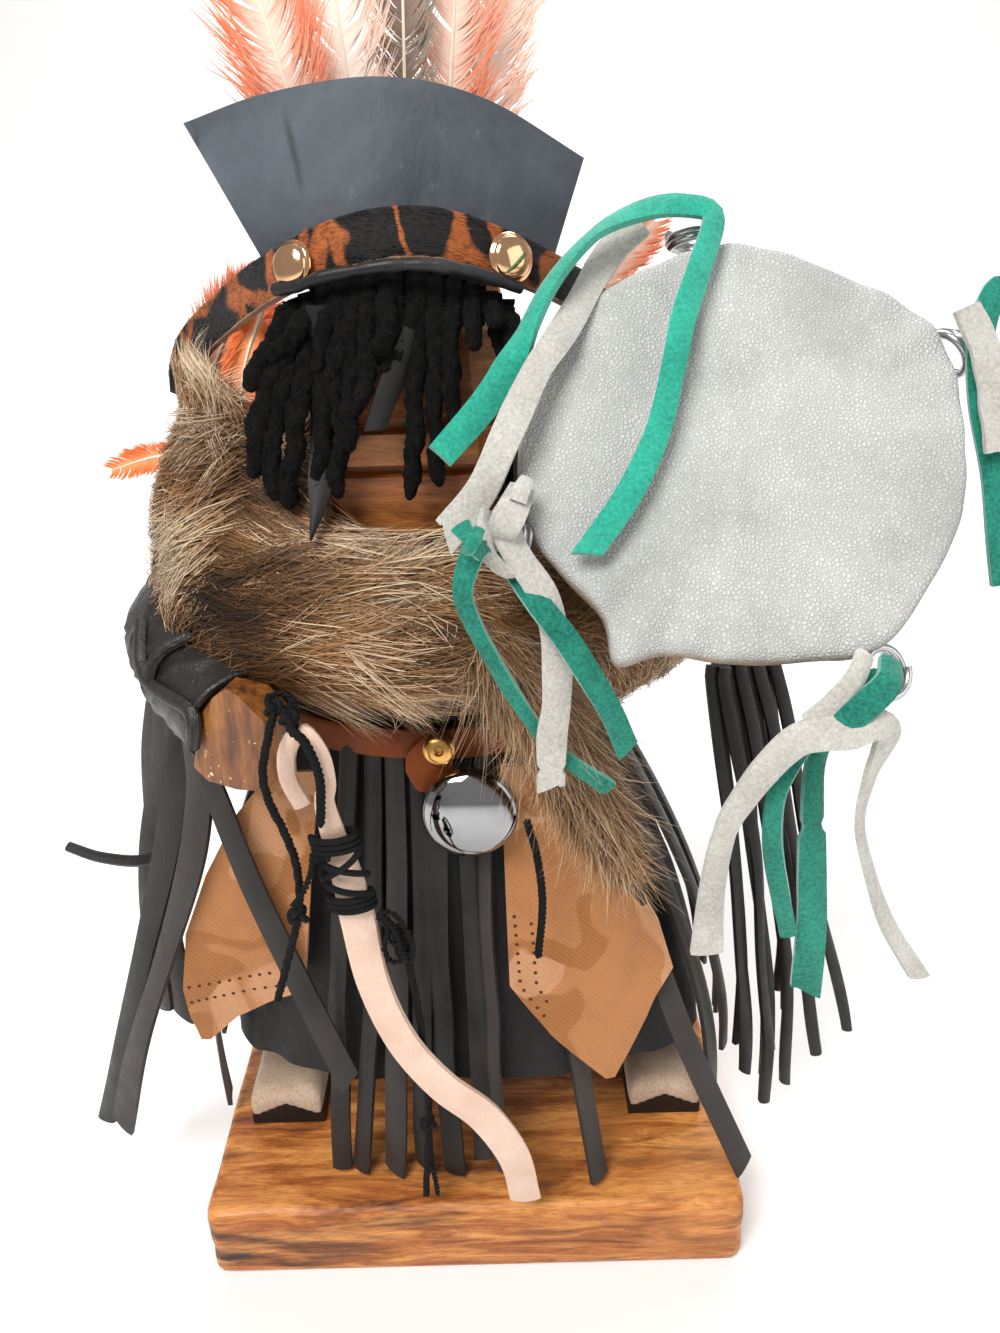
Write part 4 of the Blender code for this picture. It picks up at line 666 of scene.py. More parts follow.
SIDE_STRIPS = (
    (-30.0, 7.0), (-14.0, 14.0), (2.0, 10.0), (16.0, 17.0), (166.0, 20.0), (182.0, 14.0), (200.0, 4.0),
)
BACK_TIPS = (9.0, 3.0, 11.0, 5.0, 14.0)


def make_skirt_fringe():
    """The overskirt's strips, cut from one waistband and hanging all round."""
    random = np.random.default_rng(11)
    shape = Shape()
    for x_top, x_low, low, width, forward in FRONT_STRIPS:
        controls, bow = [], random.uniform(-1.5, 1.5)
        wave, phase, face = random.uniform(0.3, 1.1), random.uniform(0.0, 6.0), random.uniform(-0.4, 0.4)
        for height in (STRIPS_TOP, 92.0, 80.0, 66.0, 55.0, 43.0, 32.0, 16.0, low):
            share = max(0.0, (BELT_LOW - height) / (BELT_LOW - low))
            x = x_top + (x_low - x_top) * share + bow * math.sin(math.pi * share)
            x += random.normal() * 0.3 * share
            x += wave * math.sin(phase + 5.0 * share) * share
            y = skirt_front(x, max(height, HEM_HEIGHT), STRIP_OUT) - forward * share
            flick = PANEL_STRIP_FLICK * max(0.0, share - 0.8) / 0.2 * (forward < 1.0)
            controls.append((x, y - 0.7 * min(1.0, 3.0 * share) - flick, BOARD_TOP + height))
        share = np.linspace(0.0, 1.0, 34)
        shape.strap(run(controls, 34), width * (0.98 + random.uniform(0.05, 0.25) * share), STRIP_THICK,
                    (face, -1.0, 0.2), random.uniform(0.0, 1.0), 0.25 + 0.3 * random.random(),
                    np.sin(share * 3.4 + random.uniform(0, 6)) * 0.4 * share,
                    slant=random.uniform(-0.5, 0.5))
    path = run([(x, y, BOARD_TOP + z) for x, y, z in LONG_STRIP], 34)
    shape.strap(path, 5.0, STRIP_THICK, (0.0, -1.0, 0.2), 0.55, 0.3, np.linspace(0.0, 0.3, 34), slant=0.6)
    angles = [(angle, low) for angle, low in SIDE_STRIPS]
    angles += [(32.0 + 14.6 * index, BACK_TIPS[index % 5]) for index in range(9)]
    for angle, low in angles:
        turn = math.radians(angle)
        controls = []
        for step in range(9):
            height = STRIPS_TOP - (STRIPS_TOP - low) * step / 8.0
            drop = max(0.0, (BELT_LOW - height) / BELT_LOW)
            offset = STRIP_OUT + 4.0 * math.sqrt(drop) + 0.7 * (drop > 0)
            controls.append(skirt_point(turn + random.normal() * 0.012 * drop, height, offset))
        out = (math.cos(turn), math.sin(turn), 0.15)
        share = np.linspace(0.0, 1.0, 30)
        shape.strap(run(controls, 30), 4.6, STRIP_THICK, out, random.uniform(0.0, 0.8),
                    0.25 + 0.3 * random.random(), np.sin(share * 3.0 + random.uniform(0, 6)) * 0.2 * share,
                    slant=random.uniform(-0.5, 0.5))
    band = []
    angle = np.linspace(0.0, math.tau, 96, endpoint=False)
    for out, height in ((0.6, BELT_LOW + BELT_WIDTH), (0.6, BELT_LOW), (-0.6, BELT_LOW),
                        (-0.6, BELT_LOW + BELT_WIDTH)):
        half = WAIST_HALF + STRIP_OFFSET + out
        band.append(np.stack((np.cos(angle) * half[0] + lean(WAIST_HEIGHT), np.sin(angle) * half[1],
                              np.full(96, BOARD_TOP + height)), 1))
    shape.rings(band, 0.3, closed=True)
    shape.made("fringe_strips", [STRIP_LEATHER], ["skirt_fringe"], "dark_leather")


make_skirt_fringe()


def lathe(shape, base, direction, profile, sides=40, tone=0.0, slot=0):
    """A turned form: radius and rise pairs from the outside in, round a direction."""
    base, along = np.asarray(base, float), unit(np.asarray(direction, float))
    side = unit(np.cross(along, UP + 0.01))
    rise = np.cross(side, along)
    angle = np.linspace(0.0, math.tau, sides, endpoint=False)
    ring = np.cos(angle)[:, None] * side - np.sin(angle)[:, None] * rise
    shape.rings([base + along * height + ring * radius for radius, height in profile], tone, slot)


# Cloth panels: half their thickness, then their height over the board, left edge and right edge
CLOTH_HALF = 0.5
PANEL_ROWS = {
    "left": (
        (101.3, -36.0, -26.4), (92.0, -44.0, -28.4), (78.0, -52.0, -30.6), (64.0, -58.0, -32.6),
        (50.0, -60.5, -34.5), (42.0, -60.0, -50.0), (36.0, -58.6, -56.6),
    ),
    "right": (
        (101.3, 8.0, 22.0), (92.0, 8.2, 27.0), (78.0, 8.4, 33.0), (64.0, 8.6, 40.0), (52.0, 8.8, 43.5),
        (40.0, 17.0, 38.0), (27.0, 29.0, 31.0),
    ),
}


def print_cloth():
    """Twill printed with soft sand-coloured blotches."""
    look = Look("print cloth", 0.92, Sheen_Weight=0.2, Specular_IOR_Level=0.2)
    flat = look.stretched(1.0, 0.4, 0.75)
    first = look.band(look.noise(62.0, 1.5, 0.4, flat, 0.6), 0.5, 0.515)
    turned = look.stretched(0.9, 0.4, 0.8, (0.0, 0.9, 0.4))
    second = look.band(look.noise(74.0, 1.2, 0.4, turned, 0.5), 0.58, 0.6)
    colour = look.mix(first, rgb(170, 110, 62), rgb(190, 136, 96))
    colour = look.mix(second, colour, rgb(150, 90, 36))
    dirt = look.band(look.noise(130.0, 4.0, 0.6), 0.45, 0.75)
    colour = look.mix(look.times(dirt, 0.35), colour, rgb(128, 78, 44))
    waves = []
    for scale, way in ((470.0, "DIAGONAL"), (620.0, "Z")):
        sockets = {"Vector": look.where, "Scale": scale, "Distortion": 0.6, "Detail": 1.0}
        waves.append(look.node("TexWave", sockets, 1, bands_direction=way))
    threads = look.plus(*waves)
    colour = look.mix(look.times(threads, 0.07), colour, rgb(226, 190, 150))
    look.set(Base_Color=colour)
    first_bump = look.bump(threads, 0.35, 0.12)
    look.bump(look.noise(190.0, 3.0), 0.3, 0.5, first_bump)
    return look.material


PRINT_CLOTH = print_cloth()
# Painted shade: the dark brown of a hole's shaded inside in the print cloth.
HOLE_SHADE = Look("punched hole shade", 0.9, Base_Color=rgb(70, 40, 22)).material


def panel_point(side, height, share):
    rows = PANEL_ROWS[side]
    heights = [-row[0] for row in rows]
    left = np.interp(-height, heights, [row[1] for row in rows])
    right = np.interp(-height, heights, [row[2] for row in rows])
    x = left + (right - left) * share
    order = (rows[0][0] - height) / (rows[0][0] - rows[-1][0])
    y = min(skirt_front(x, max(height, HEM_HEIGHT), PANEL_OFFSET - SKIRT_OFFSET), -25.5) - 2.6 * order
    ripple = wobble(x * 0.07, height * 0.05, 3.0) * 1.1 * order
    return np.array((x, y - abs(ripple), BOARD_TOP + height))


def make_panel(side):
    high, low = PANEL_ROWS[side][0][0], PANEL_ROWS[side][-1][0]
    heights = sorted(set(np.linspace(high, low, 56)) | {row[0] for row in PANEL_ROWS[side]}, reverse=True)
    rows, columns = len(heights), 26
    front = np.array([[panel_point(side, height, column / (columns - 1)) for column in range(columns)]
                      for height in heights])
    along_x = np.gradient(front, axis=1)
    along_z = np.gradient(front, axis=0)
    out = unit(np.cross(along_z, along_x))
    out *= np.where(out[..., 1:2] > 0.0, -1.0, 1.0)
    skin, back = front + out * CLOTH_HALF, front - out * CLOTH_HALF
    shape = Shape()
    points = np.vstack((skin.reshape(-1, 3), back.reshape(-1, 3)))
    total = rows * columns
    faces = []
    for row in range(rows - 1):
        for column in range(columns - 1):
            low_corner = row * columns + column
            face = (low_corner, low_corner + columns, low_corner + columns + 1, low_corner + 1)
            faces.append(face)
            faces.append(tuple(total + face[corner] for corner in (0, 3, 2, 1)))
    rim = list(range(columns))
    rim += [row * columns + columns - 1 for row in range(1, rows)]
    rim += [(rows - 1) * columns + column for column in range(columns - 2, -1, -1)]
    rim += [row * columns for row in range(rows - 2, 0, -1)]
    for index, corner in enumerate(rim):
        follow = rim[(index + 1) % len(rim)]
        faces.append((corner, follow, total + follow, total + corner))
    shape.add(points, faces)
    panel = shape.made("cloth_panel_" + side, [PRINT_CLOTH], ["panel_" + side], "print_cloth")


make_panel("left")
make_panel("right")


# Rows of punched holes: panel, height and share of the width at both ends, how many
HOLE_ROWS = (
    ("left", 46.5, 0.06, 50.5, 0.84, 11), ("left", 50.5, 0.05, 53.5, 0.7, 9),
    ("right", 68.0, 0.05, 44.5, 0.07, 12), ("right", 66.0, 0.16, 48.0, 0.16, 9),
)


def make_holes():
    shape = Shape()
    for side, high, from_share, low, to_share, count in HOLE_ROWS:
        for part in np.linspace(0.0, 1.0, count):
            height, share = high + (low - high) * part, from_share + (to_share - from_share) * part
            spot = panel_point(side, height, share)
            across = unit(panel_point(side, height, share + 0.02) - spot)
            out = unit(np.cross(across, spot - panel_point(side, height - 0.5, share)))
            # Each hole is a small dark brown disc laid on the cloth: painted shade standing for the hole.
            lathe(shape, spot + out * 0.42, out, [(0.42, 0.0), (0.4, 0.12), (0.02, 0.13)], 8)
    shape.made("punched_hole_shades", [HOLE_SHADE], (), "print_cloth")


make_holes()


CROSS_STRAP = (
    (-47.6, -28.6, 121.6), (-46.0, -30.0, 117.0), (-41.6, -31.0, 97.0), (-34.3, -33.5, 74.0),
    (-25.6, -38.0, 51.0),
)
CURLED_STRIP = (
    (-55.2, -17.8, 125.6), (-56.4, -19.6, 110.0), (-60.0, -19.4, 100.0), (-67.5, -17.8, 94.9),
    (-77.5, -15.4, 94.2), (-85.3, -13.0, 95.6),
)


def make_small_straps():
    shape = Shape()
    shape.strap(run(CROSS_STRAP, 30), np.linspace(4.4, 5.0, 30), 1.2, (0.0, -1.0, 0.2), 0.35, 0.3,
                np.linspace(-0.2, 0.2, 30), slant=0.5)
    shape.made("strap_across", [STRIP_LEATHER], ["cross_strap"], "black_leather")
    shape = Shape()
    shape.strap(run(CURLED_STRIP, 40), np.linspace(3.2, 2.0, 40), 1.1, (0.1, -0.5, 0.9), 0.3, 0.2)
    shape.made("thin_strip", [BLACK_LEATHER], ["curled_strip"], "black_leather")


make_small_straps()


def belt_place(x, out=0.0):
    half = WAIST_HALF + BELT_OFFSET
    share = (x - lean(WAIST_HEIGHT)) / half[0]
    return np.array((x, -half[1] * math.sqrt(1.0 - share * share) - out, BOARD_TOP + WAIST_HEIGHT))


# The belt's cut: how far out and how high over its lower edge
BELT_SECTION = (
    (0.45, BELT_WIDTH), (0.8, BELT_WIDTH - 0.5), (0.8, 0.5), (0.45, 0.0), (-0.7, 0.0), (-0.7, BELT_WIDTH),
)
# Turned forms from the outside in: radius and rise
BEAD_PROFILE = (
    (1.9, 0.0), (2.9, 0.3), (3.25, 0.9), (3.1, 1.5), (2.5, 2.1), (1.7, 2.4), (1.0, 2.45), (0.75, 2.2),
    (0.7, 1.2), (0.02, 1.2),
)
CONCHO_RIM = ((8.6, 0.0), (9.3, 0.12), (9.4, 0.35), (9.3, 0.6))
STUD_RIM = ((2.8, 0.0), (3.75, 0.1), (3.95, 0.35), (3.85, 0.6), (3.5, 0.78))


def domed(rim, radius, rise, first, last, count):
    """A rim with a dome in it, as a turned form's profile."""
    return list(rim) + [(radius * math.cos(step), rim[-1][1] + rise * math.sin(step))
                        for step in np.linspace(first, last, count)]


def make_belt():
    shape = Shape()
    angle = np.linspace(0.0, math.tau, 120, endpoint=False)
    rings = []
    for out, height in BELT_SECTION:
        half = WAIST_HALF + BELT_OFFSET + out
        wave = 0.16 * np.sin(angle * 7.0)
        rings.append(np.stack((np.cos(angle) * (half[0] + wave) + lean(WAIST_HEIGHT),
                               np.sin(angle) * (half[1] + wave),
                               np.full(120, BOARD_TOP + BELT_LOW + height)), 1))
    shape.rings(rings, closed=True)
    shape.made("belt_leather", [BELT_LEATHER], ["belt"], "tan_leather")
    shape = Shape()
    top = belt_place(-4.2, 1.95)
    path = run([top + (1.6, 0.0, 2.6), top + (-1.2, -0.4, -2.6), top + (-2.6, -0.6, -9.0)], 40)
    share = np.linspace(0.0, 1.0, 40)
    shape.strap(path, np.interp(share, (0.0, 0.5, 0.72, 1.0), (4.6, 9.4, 8.2, 3.4)), 1.5, (0.0, -1.0, 0.1),
                0.1, 0.5)
    shape.made("tab_leather", [BELT_LEATHER], ["belt_tab"], "tan_leather")
    shape = Shape()
    bead = belt_place(-3.4, 3.6)
    lathe(shape, bead + (0.0, 0.0, 1.0), (0.0, -1.0, 0.25), BEAD_PROFILE, 36)
    shape.made("bead_brass", [BRASS], ["belt_bead"], "brass")
    shape = Shape()
    facing = unit(np.array((0.0, -1.0, 0.12)))
    base = np.array((2.0, -27.6, BOARD_TOP + WAIST_HEIGHT - 12.0)) + facing * 2.2
    lathe(shape, base, facing, domed(CONCHO_RIM, 9.2, 3.4, 0.05, 1.52, 26), 72)
    shape.made("concho_disc", [CHROME], ["concho"], "polished_steel", 50.0)


make_belt()


def twisted_cord(shape, path, radius, plies=3, pitch=3.2, tone=0.0, sides=6):
    """Plies laid round each other along a path."""
    side, face = carried(path)
    along = distances(path)
    for ply in range(plies):
        angle = math.tau * (along / pitch + ply / plies)
        shift = (side * np.cos(angle)[:, None] + face * np.sin(angle)[:, None]) * radius * 0.5
        shape.tube(path + shift, radius * 0.52, sides, tone)


def knot(shape, centre, way, size, cord, tone=0.0, slot=0):
    """A small overhand knot: a trefoil of cord pulled tight about a way."""
    way = unit(np.asarray(way, float))
    side = unit(np.cross(way, FRONT + 0.05))
    face = np.cross(side, way)
    t = np.linspace(0.0, math.tau, 44)
    across = (np.sin(t) + 2.0 * np.sin(2.0 * t)) / 3.0
    along = (np.cos(t) - 2.0 * np.cos(2.0 * t)) / 3.0
    out = -np.sin(3.0 * t) * 0.45
    path = (np.asarray(centre, float) + side * (across * size)[:, None] + way * (along * size)[:, None]
            + face * (out * size)[:, None])
    shape.tube(path[:-1], cord, 8, tone, slot)


CORD_DIAMETER = 1.7
CORD_POINTS = 90
WHIP_CORD_LEFT = (
    (-30.6, -41.9, 144.6), (-28.9, -45.8, 144.6), (-29.6, -49.0, 141.0), (-30.8, -51.0, 135.4),
    (-30.2, -51.6, 130.0), (-28.4, -51.6, 124.0), (-27.3, -51.0, 116.5), (-28.2, -49.8, 106.3),
    (-32.1, -47.6, 93.1), (-35.7, -45.6, 81.6),
)
WHIP_CORD_RIGHT = (
    (-26.6, -45.0, 144.2), (-25.6, -49.8, 142.8), (-23.2, -51.4, 141.1), (-21.5, -51.7, 135.1),
    (-21.8, -51.5, 129.1), (-22.4, -51.0, 125.0),
)
WHIP_CORD_TAIL = (
    (-14.0, -51.6, 106.0), (-10.4, -49.8, 98.0), (-8.6, -47.4, 77.0), (-8.4, -45.4, 53.0),
    (-10.6, -43.6, 23.0),
)
CONCHO_CORD = ((12.8, -31.6, 111.6), (14.6, -33.4, 105.0), (15.6, -35.4, 95.0), (14.6, -37.0, 83.0))
# Knots: share of the cord's length and size; loose ends: their paths
CORD_KNOTS = {
    "cord_left": ((0.06, 1.5), (0.66, 1.7)), "cord_right": ((0.1, 1.4),),
    "cord_tail": ((0.08, 1.8), (0.13, 1.5), (0.72, 1.5)),
}
CORD_ENDS = {
    "cord_left": (
        ((-30.4, -42.4, 145.0), (-27.2, -44.4, 146.4), (-25.2, -45.6, 144.4), (-25.4, -47.6, 141.2)),
        ((-29.0, -50.9, 108.0), (-26.4, -52.0, 112.0), (-24.6, -52.4, 116.6), (-24.0, -52.2, 120.0)),
    ),
    "cord_tail": (
        (
            (-14.1, -51.2, 106.1), (-12.6, -51.2, 102.5), (-13.6, -51.2, 98.4), (-12.4, -51.2, 95.2),
            (-10.2, -51.2, 96.0), (-10.3, -51.2, 100.1), (-12.1, -51.2, 104.3), (-13.6, -51.2, 105.9),
        ),
        (
            (-13.6, -52.0, 107.2), (-11.2, -52.0, 106.6), (-9.0, -52.0, 102.6), (-8.2, -52.0, 98.5),
            (-9.1, -52.0, 95.8), (-10.3, -52.0, 98.6), (-11.1, -52.0, 102.7), (-13.3, -52.0, 106.7),
        ),
        ((-9.6, -44.2, 36.0), (-8.4, -44.2, 30.0), (-8.0, -43.8, 23.4)),
    ),
}


def make_cords():
    loose = Shape()
    for name, node, controls, declared in (("cord_left", "whip_cord_left", WHIP_CORD_LEFT, True),
                                           ("cord_right", "whip_cord_right", WHIP_CORD_RIGHT, False),
                                           ("cord_tail", "whip_cord_tail", WHIP_CORD_TAIL, True),
                                           ("cord_concho", "concho_cord", CONCHO_CORD, False)):
        path = run(controls, CORD_POINTS)
        shape = Shape()
        twisted_cord(shape, path, CORD_DIAMETER / 2.0)
        for share, size in CORD_KNOTS.get(name, ()):
            spot = int(share * (CORD_POINTS - 1))
            knot(loose, path[spot], ways(path)[spot], size, 0.6)
        for controls in CORD_ENDS.get(name, ()):
            twisted_cord(loose, run(controls, 40), 0.6, 2, 2.4)
        item = shape.made(name, [BLACK_CORD], [node], "black_cord", 60.0)
    loose.made("cord_knots", [BLACK_CORD], (), "black_cord", 60.0)


make_cords()


# The turned cuff: width as a share of the sleeve's, and how far it lies past the sleeve's end
CUFF = ((1.02, 0.35), (1.0, 0.9), (0.93, 1.0), (0.88, 0.5), (0.86, -0.6), (0.85, -12.0))


def sleeve_folds(shape, controls, radii, seed):
    """A sleeve of soft leather, wrinkled across, with its cuff turned in."""
    count, sides = 70, 64
    path = run(controls, count)
    reach = np.interp(np.linspace(0.0, 1.0, count), np.linspace(0.0, 1.0, len(radii)), radii)
    side, face = carried(path)
    rings = []
    for row in range(count):
        share = row / (count - 1)
        ring = []
        for column in range(sides):
            angle = math.tau * column / sides
            c, s = math.cos(angle), math.sin(angle)
            fold = wobble(c * 1.2, s * 1.2, share * 3.0 + seed) * 1.1
            ridge = 1.0 - abs(wobble(c * 0.9, s * 0.9, share * 9.0 + seed) * 2.2)
            grow = (fold + ridge ** 3 * 0.9 - 0.9) * min(1.0, 4.0 * (1.02 - share))
            ring.append(path[row] + (side[row] * c + face[row] * s) * (reach[row] + grow))
        rings.append(ring)
    way, centre = ways(path)[-1], path[-1]
    last = np.array(rings[-1])
    for wide, ahead in CUFF:
        rings.append(centre + (last - centre) * wide + way * ahead)
    shape.rings(rings, 0.4)


LEFT_SLEEVE = (
    (
        (-30.0, 5.0, 149.0), (-44.0, 1.5, 147.4), (-51.2, -9.4, 143.6), (-46.4, -22.0, 140.7),
        (-38.2, -33.5, 136.8),
    ),
    (11.5, 12.5, 12.8, 12.0, 10.4),
)
RIGHT_SLEEVE = (
    (
        (27.0, 5.0, 150.0), (38.0, 3.0, 151.0), (46.0, -4.0, 155.0), (49.0, -14.0, 162.0),
        (48.0, -22.5, 169.0),
    ),
    (11.5, 12.5, 12.0, 11.0, 9.8),
)
# The rolled edges at the left sleeve's end
SLEEVE_EDGES = (
    (
        (-57.1, -21.6, 151.0), (-56.8, -25.6, 147.7), (-55.9, -29.0, 144.7), (-53.8, -32.2, 143.0),
        (-50.2, -35.8, 142.6), (-46.6, -38.9, 142.3), (-44.4, -41.1, 141.5), (-44.1, -42.3, 139.0),
        (-45.2, -41.6, 135.1),
    ),
    (
        (-54.0, -31.7, 143.9), (-53.0, -31.1, 146.4), (-51.0, -30.4, 148.8), (-48.4, -30.0, 150.2),
        (-45.7, -29.1, 151.1),
    ),
)


def make_arms():
    for side, (controls, radii), seed in (("left", LEFT_SLEEVE, 3.0), ("right", RIGHT_SLEEVE, 8.0)):
        shape = Shape()
        sleeve_folds(shape, controls, radii, seed)
        if side == "left":
            for edge, width in zip(SLEEVE_EDGES, (2.6, 2.2)):
                rim = run(edge, 50)
                shape.strap(rim, width, 1.1, (-0.2, -0.9, 0.4), 0.5, 0.5)
                shape.tube(rim + np.array((0.0, -0.2, -0.4)), 0.55, 8, 0.3)
        shape.made("sleeve_leather_" + side, [SLEEVE_LEATHER], ["sleeve_" + side], "dark_leather")
        finish_node("hand_" + side, HAND_WOOD, 0.5, 20.0)


make_arms()

SEAM_STRIPS = {
    "left": (
        (
            (-49.6, -27.2, 126.0), (-49.8, -28.2, 118.1), (-53.8, -28.5, 102.3), (-62.7, -28.0, 79.4),
            (-73.1, -26.5, 53.0), (-83.0, -24.5, 24.5),
        ),
        (
            (-54.6, -21.4, 127.2), (-56.2, -24.0, 115.8), (-60.6, -24.3, 99.6), (-68.9, -23.6, 76.1),
            (-80.1, -21.9, 46.1), (-88.9, -20.9, 22.2),
        ),
        (
            (-58.6, -15.0, 128.4), (-62.5, -14.2, 112.0), (-68.5, -12.6, 92.0), (-72.5, -11.0, 70.0),
            (-73.8, -10.0, 46.0),
        ),
        (
            (-61.8, -8.2, 129.0), (-66.4, -6.4, 112.0), (-70.4, -4.0, 86.0), (-72.4, -2.0, 62.0),
            (-73.4, 0.0, 34.0),
        ),
    ),
    "right": (
        (
            (50.6, -18.6, 134.0), (53.4, -20.4, 116.0), (58.6, -21.0, 88.0), (62.0, -20.0, 60.0),
            (64.4, -19.0, 30.0),
        ),
        (
            (54.6, -15.4, 134.6), (58.4, -16.4, 116.0), (64.0, -16.0, 84.0), (69.0, -15.0, 52.0),
            (73.0, -14.0, 14.0),
        ),
        (
            (58.4, -12.4, 135.2), (62.6, -12.4, 116.0), (68.6, -11.4, 88.0), (73.6, -10.0, 60.0),
            (76.0, -9.0, 40.0),
        ),
        (
            (62.0, -9.0, 136.0), (66.6, -8.4, 116.0), (73.4, -7.0, 84.0), (81.0, -6.0, 50.0),
            (88.0, -5.0, 20.0),
        ),
    ),
}


def make_seam_strips():
    random = np.random.default_rng(5)
    for side, out, leathers, sway, curl in (("left", (-0.45, -0.88, 0.1), STRIP_LEATHER, 0.5, 0.3),
                                            ("right", (0.2, -0.97, 0.0), BLACK_LEATHER, 0.9, 0.7)):
        shape = Shape()
        for controls in SEAM_STRIPS[side]:
            start = np.array(controls)
            shares = np.linspace(0.0, 1.0, len(start))[:, None]
            if side == "left":
                parts = ((start, 5.4),)
            else:
                drift = np.array((random.uniform(2.2, 3.6), 0.0, random.uniform(6.0, 14.0)))
                parts = ((start + (-0.9, 0.4, 0.0), 2.7), (start + (1.0, -0.5, 0.0) + drift * shares, 2.4),
                         (start + (0.2, 1.8, 0.0) + (-drift * 0.7 + (0.0, 2.0, 12.0)) * shares, 2.2))
            for points, wide in parts:
                path = run([points[0] + (0.0, 0.0, 3.0)] + list(points), 46)
                share = np.linspace(0.0, 1.0, 46)
                path[:, 0] += np.sin(share * random.uniform(4.0, 9.0) + random.uniform(0, 6)) * share * sway
                shape.strap(path, wide * (1.0 + 0.12 * np.sin(share * 9.0)), 1.2, out,
                            random.uniform(0.1, 0.9), 0.4,
                            np.sin(share * 5.0 + random.uniform(0, 6)) * curl * share,
                            slant=random.uniform(-0.7, 0.7))
        shape.made("seam_strips_" + side, [leathers], ["sleeve_fringe_" + side], "dark_leather")


make_seam_strips()
finish_node("tunic", SKIRT_LEATHER, 0.8)
finish_node("head", HEAD_WOOD, 0.45, 20.0)


# Headgear: heights of these points are over the board's underside
HEAD_TOP = BOARD_TOP + 193.0
BAND = (
    (-49.7, 2.0, 187.0), (-48.2, 0.5, 192.7), (-44.8, -2.0, 197.4), (-37.9, -7.0, 202.5),
    (-30.8, -13.0, 206.9), (-25.6, -17.0, 209.4), (-21.9, -20.0, 210.9), (-13.9, -23.0, 213.8),
    (-5.2, -23.8, 215.1), (2.5, -22.8, 214.3), (11.4, -19.9, 211.1), (17.6, -15.5, 208.2),
    (24.0, -8.5, 204.4), (29.3, -1.0, 200.2), (32.8, 3.0, 196.2),
)
BAND_LOOKS = unit(np.array((0.0, -0.93, 0.36)))
BAND_SHARES = (0.0, 0.12, 0.3, 0.5, 0.7, 0.88, 1.0)
BAND_WIDTHS = (5.6, 6.8, 7.4, 8.0, 7.4, 6.8, 5.6)
PIPING = (
    (-25.8, -22.0, 206.8), (-21.8, -24.2, 207.4), (-16.2, -26.2, 209.0), (-5.2, -27.4, 210.3),
    (3.9, -26.4, 209.5), (10.1, -23.8, 207.3), (13.4, -21.8, 206.0),
)
STUD_PLACES = (-21.9, 11.4)


def spotted_hide():
    """Short black hair in broad patches parted by rust-coloured gaps, with the hide's own pile."""
    look = Look("spotted hide", 0.72, Sheen_Weight=0.2, Specular_IOR_Level=0.25)
    drift = look.stretched(1.15, 0.5, 0.62, (0.0, 0.35, 0.0), look.warped(120.0, 0.006))
    lines = look.cells(98.0, "DISTANCE_TO_EDGE", drift)
    ragged = look.times(look.noise(760.0, 3.0, 0.7, look.stretched(1.0, 0.6, 0.4)), 0.09)
    broken = look.times(look.noise(70.0, 1.0), 0.22)
    share = look.band(look.plus(look.plus(lines, ragged), broken), 0.19, 0.24)
    tan = look.mix(look.noise(420.0, 3.0), rgb(112, 54, 20), rgb(188, 104, 48))
    look.set(Base_Color=look.mix(share, tan, rgb(19, 16, 15)))
    pile = look.noise(1500.0, 3.0, 0.7, look.stretched(0.35, 0.6, 1.0))
    look.bump(pile, 0.7, 0.3)
    return look.material


def felted_wool():
    """Near-black wool, matted into small crimps."""
    look = Look("felted wool", 0.95, Specular_IOR_Level=0.12)
    crimp = look.noise(900.0, 4.0, 0.7, look.stretched(1.0, 1.0, 0.6), 0.5)
    look.set(Base_Color=look.ramp(crimp, (0.35, rgb(5, 5, 5)), (0.75, rgb(27, 25, 24))))
    first = look.bump(crimp, 0.9, 0.7)
    look.bump(look.noise(2600.0, 3.0, 0.7), 0.6, 0.25, first)
    return look.material


HIDE = spotted_hide()
HIDE_BACK = suede("hide back", rgb(150, 120, 92), rgb(190, 160, 130))
HIDE_EDGE = suede("hide edge", rgb(104, 72, 48), rgb(160, 122, 88))
FELT = felted_wool()
WOOL = strands("black wool", rgb(8, 8, 8), rgb(14, 13, 13), rgb(44, 42, 40), 0.9)


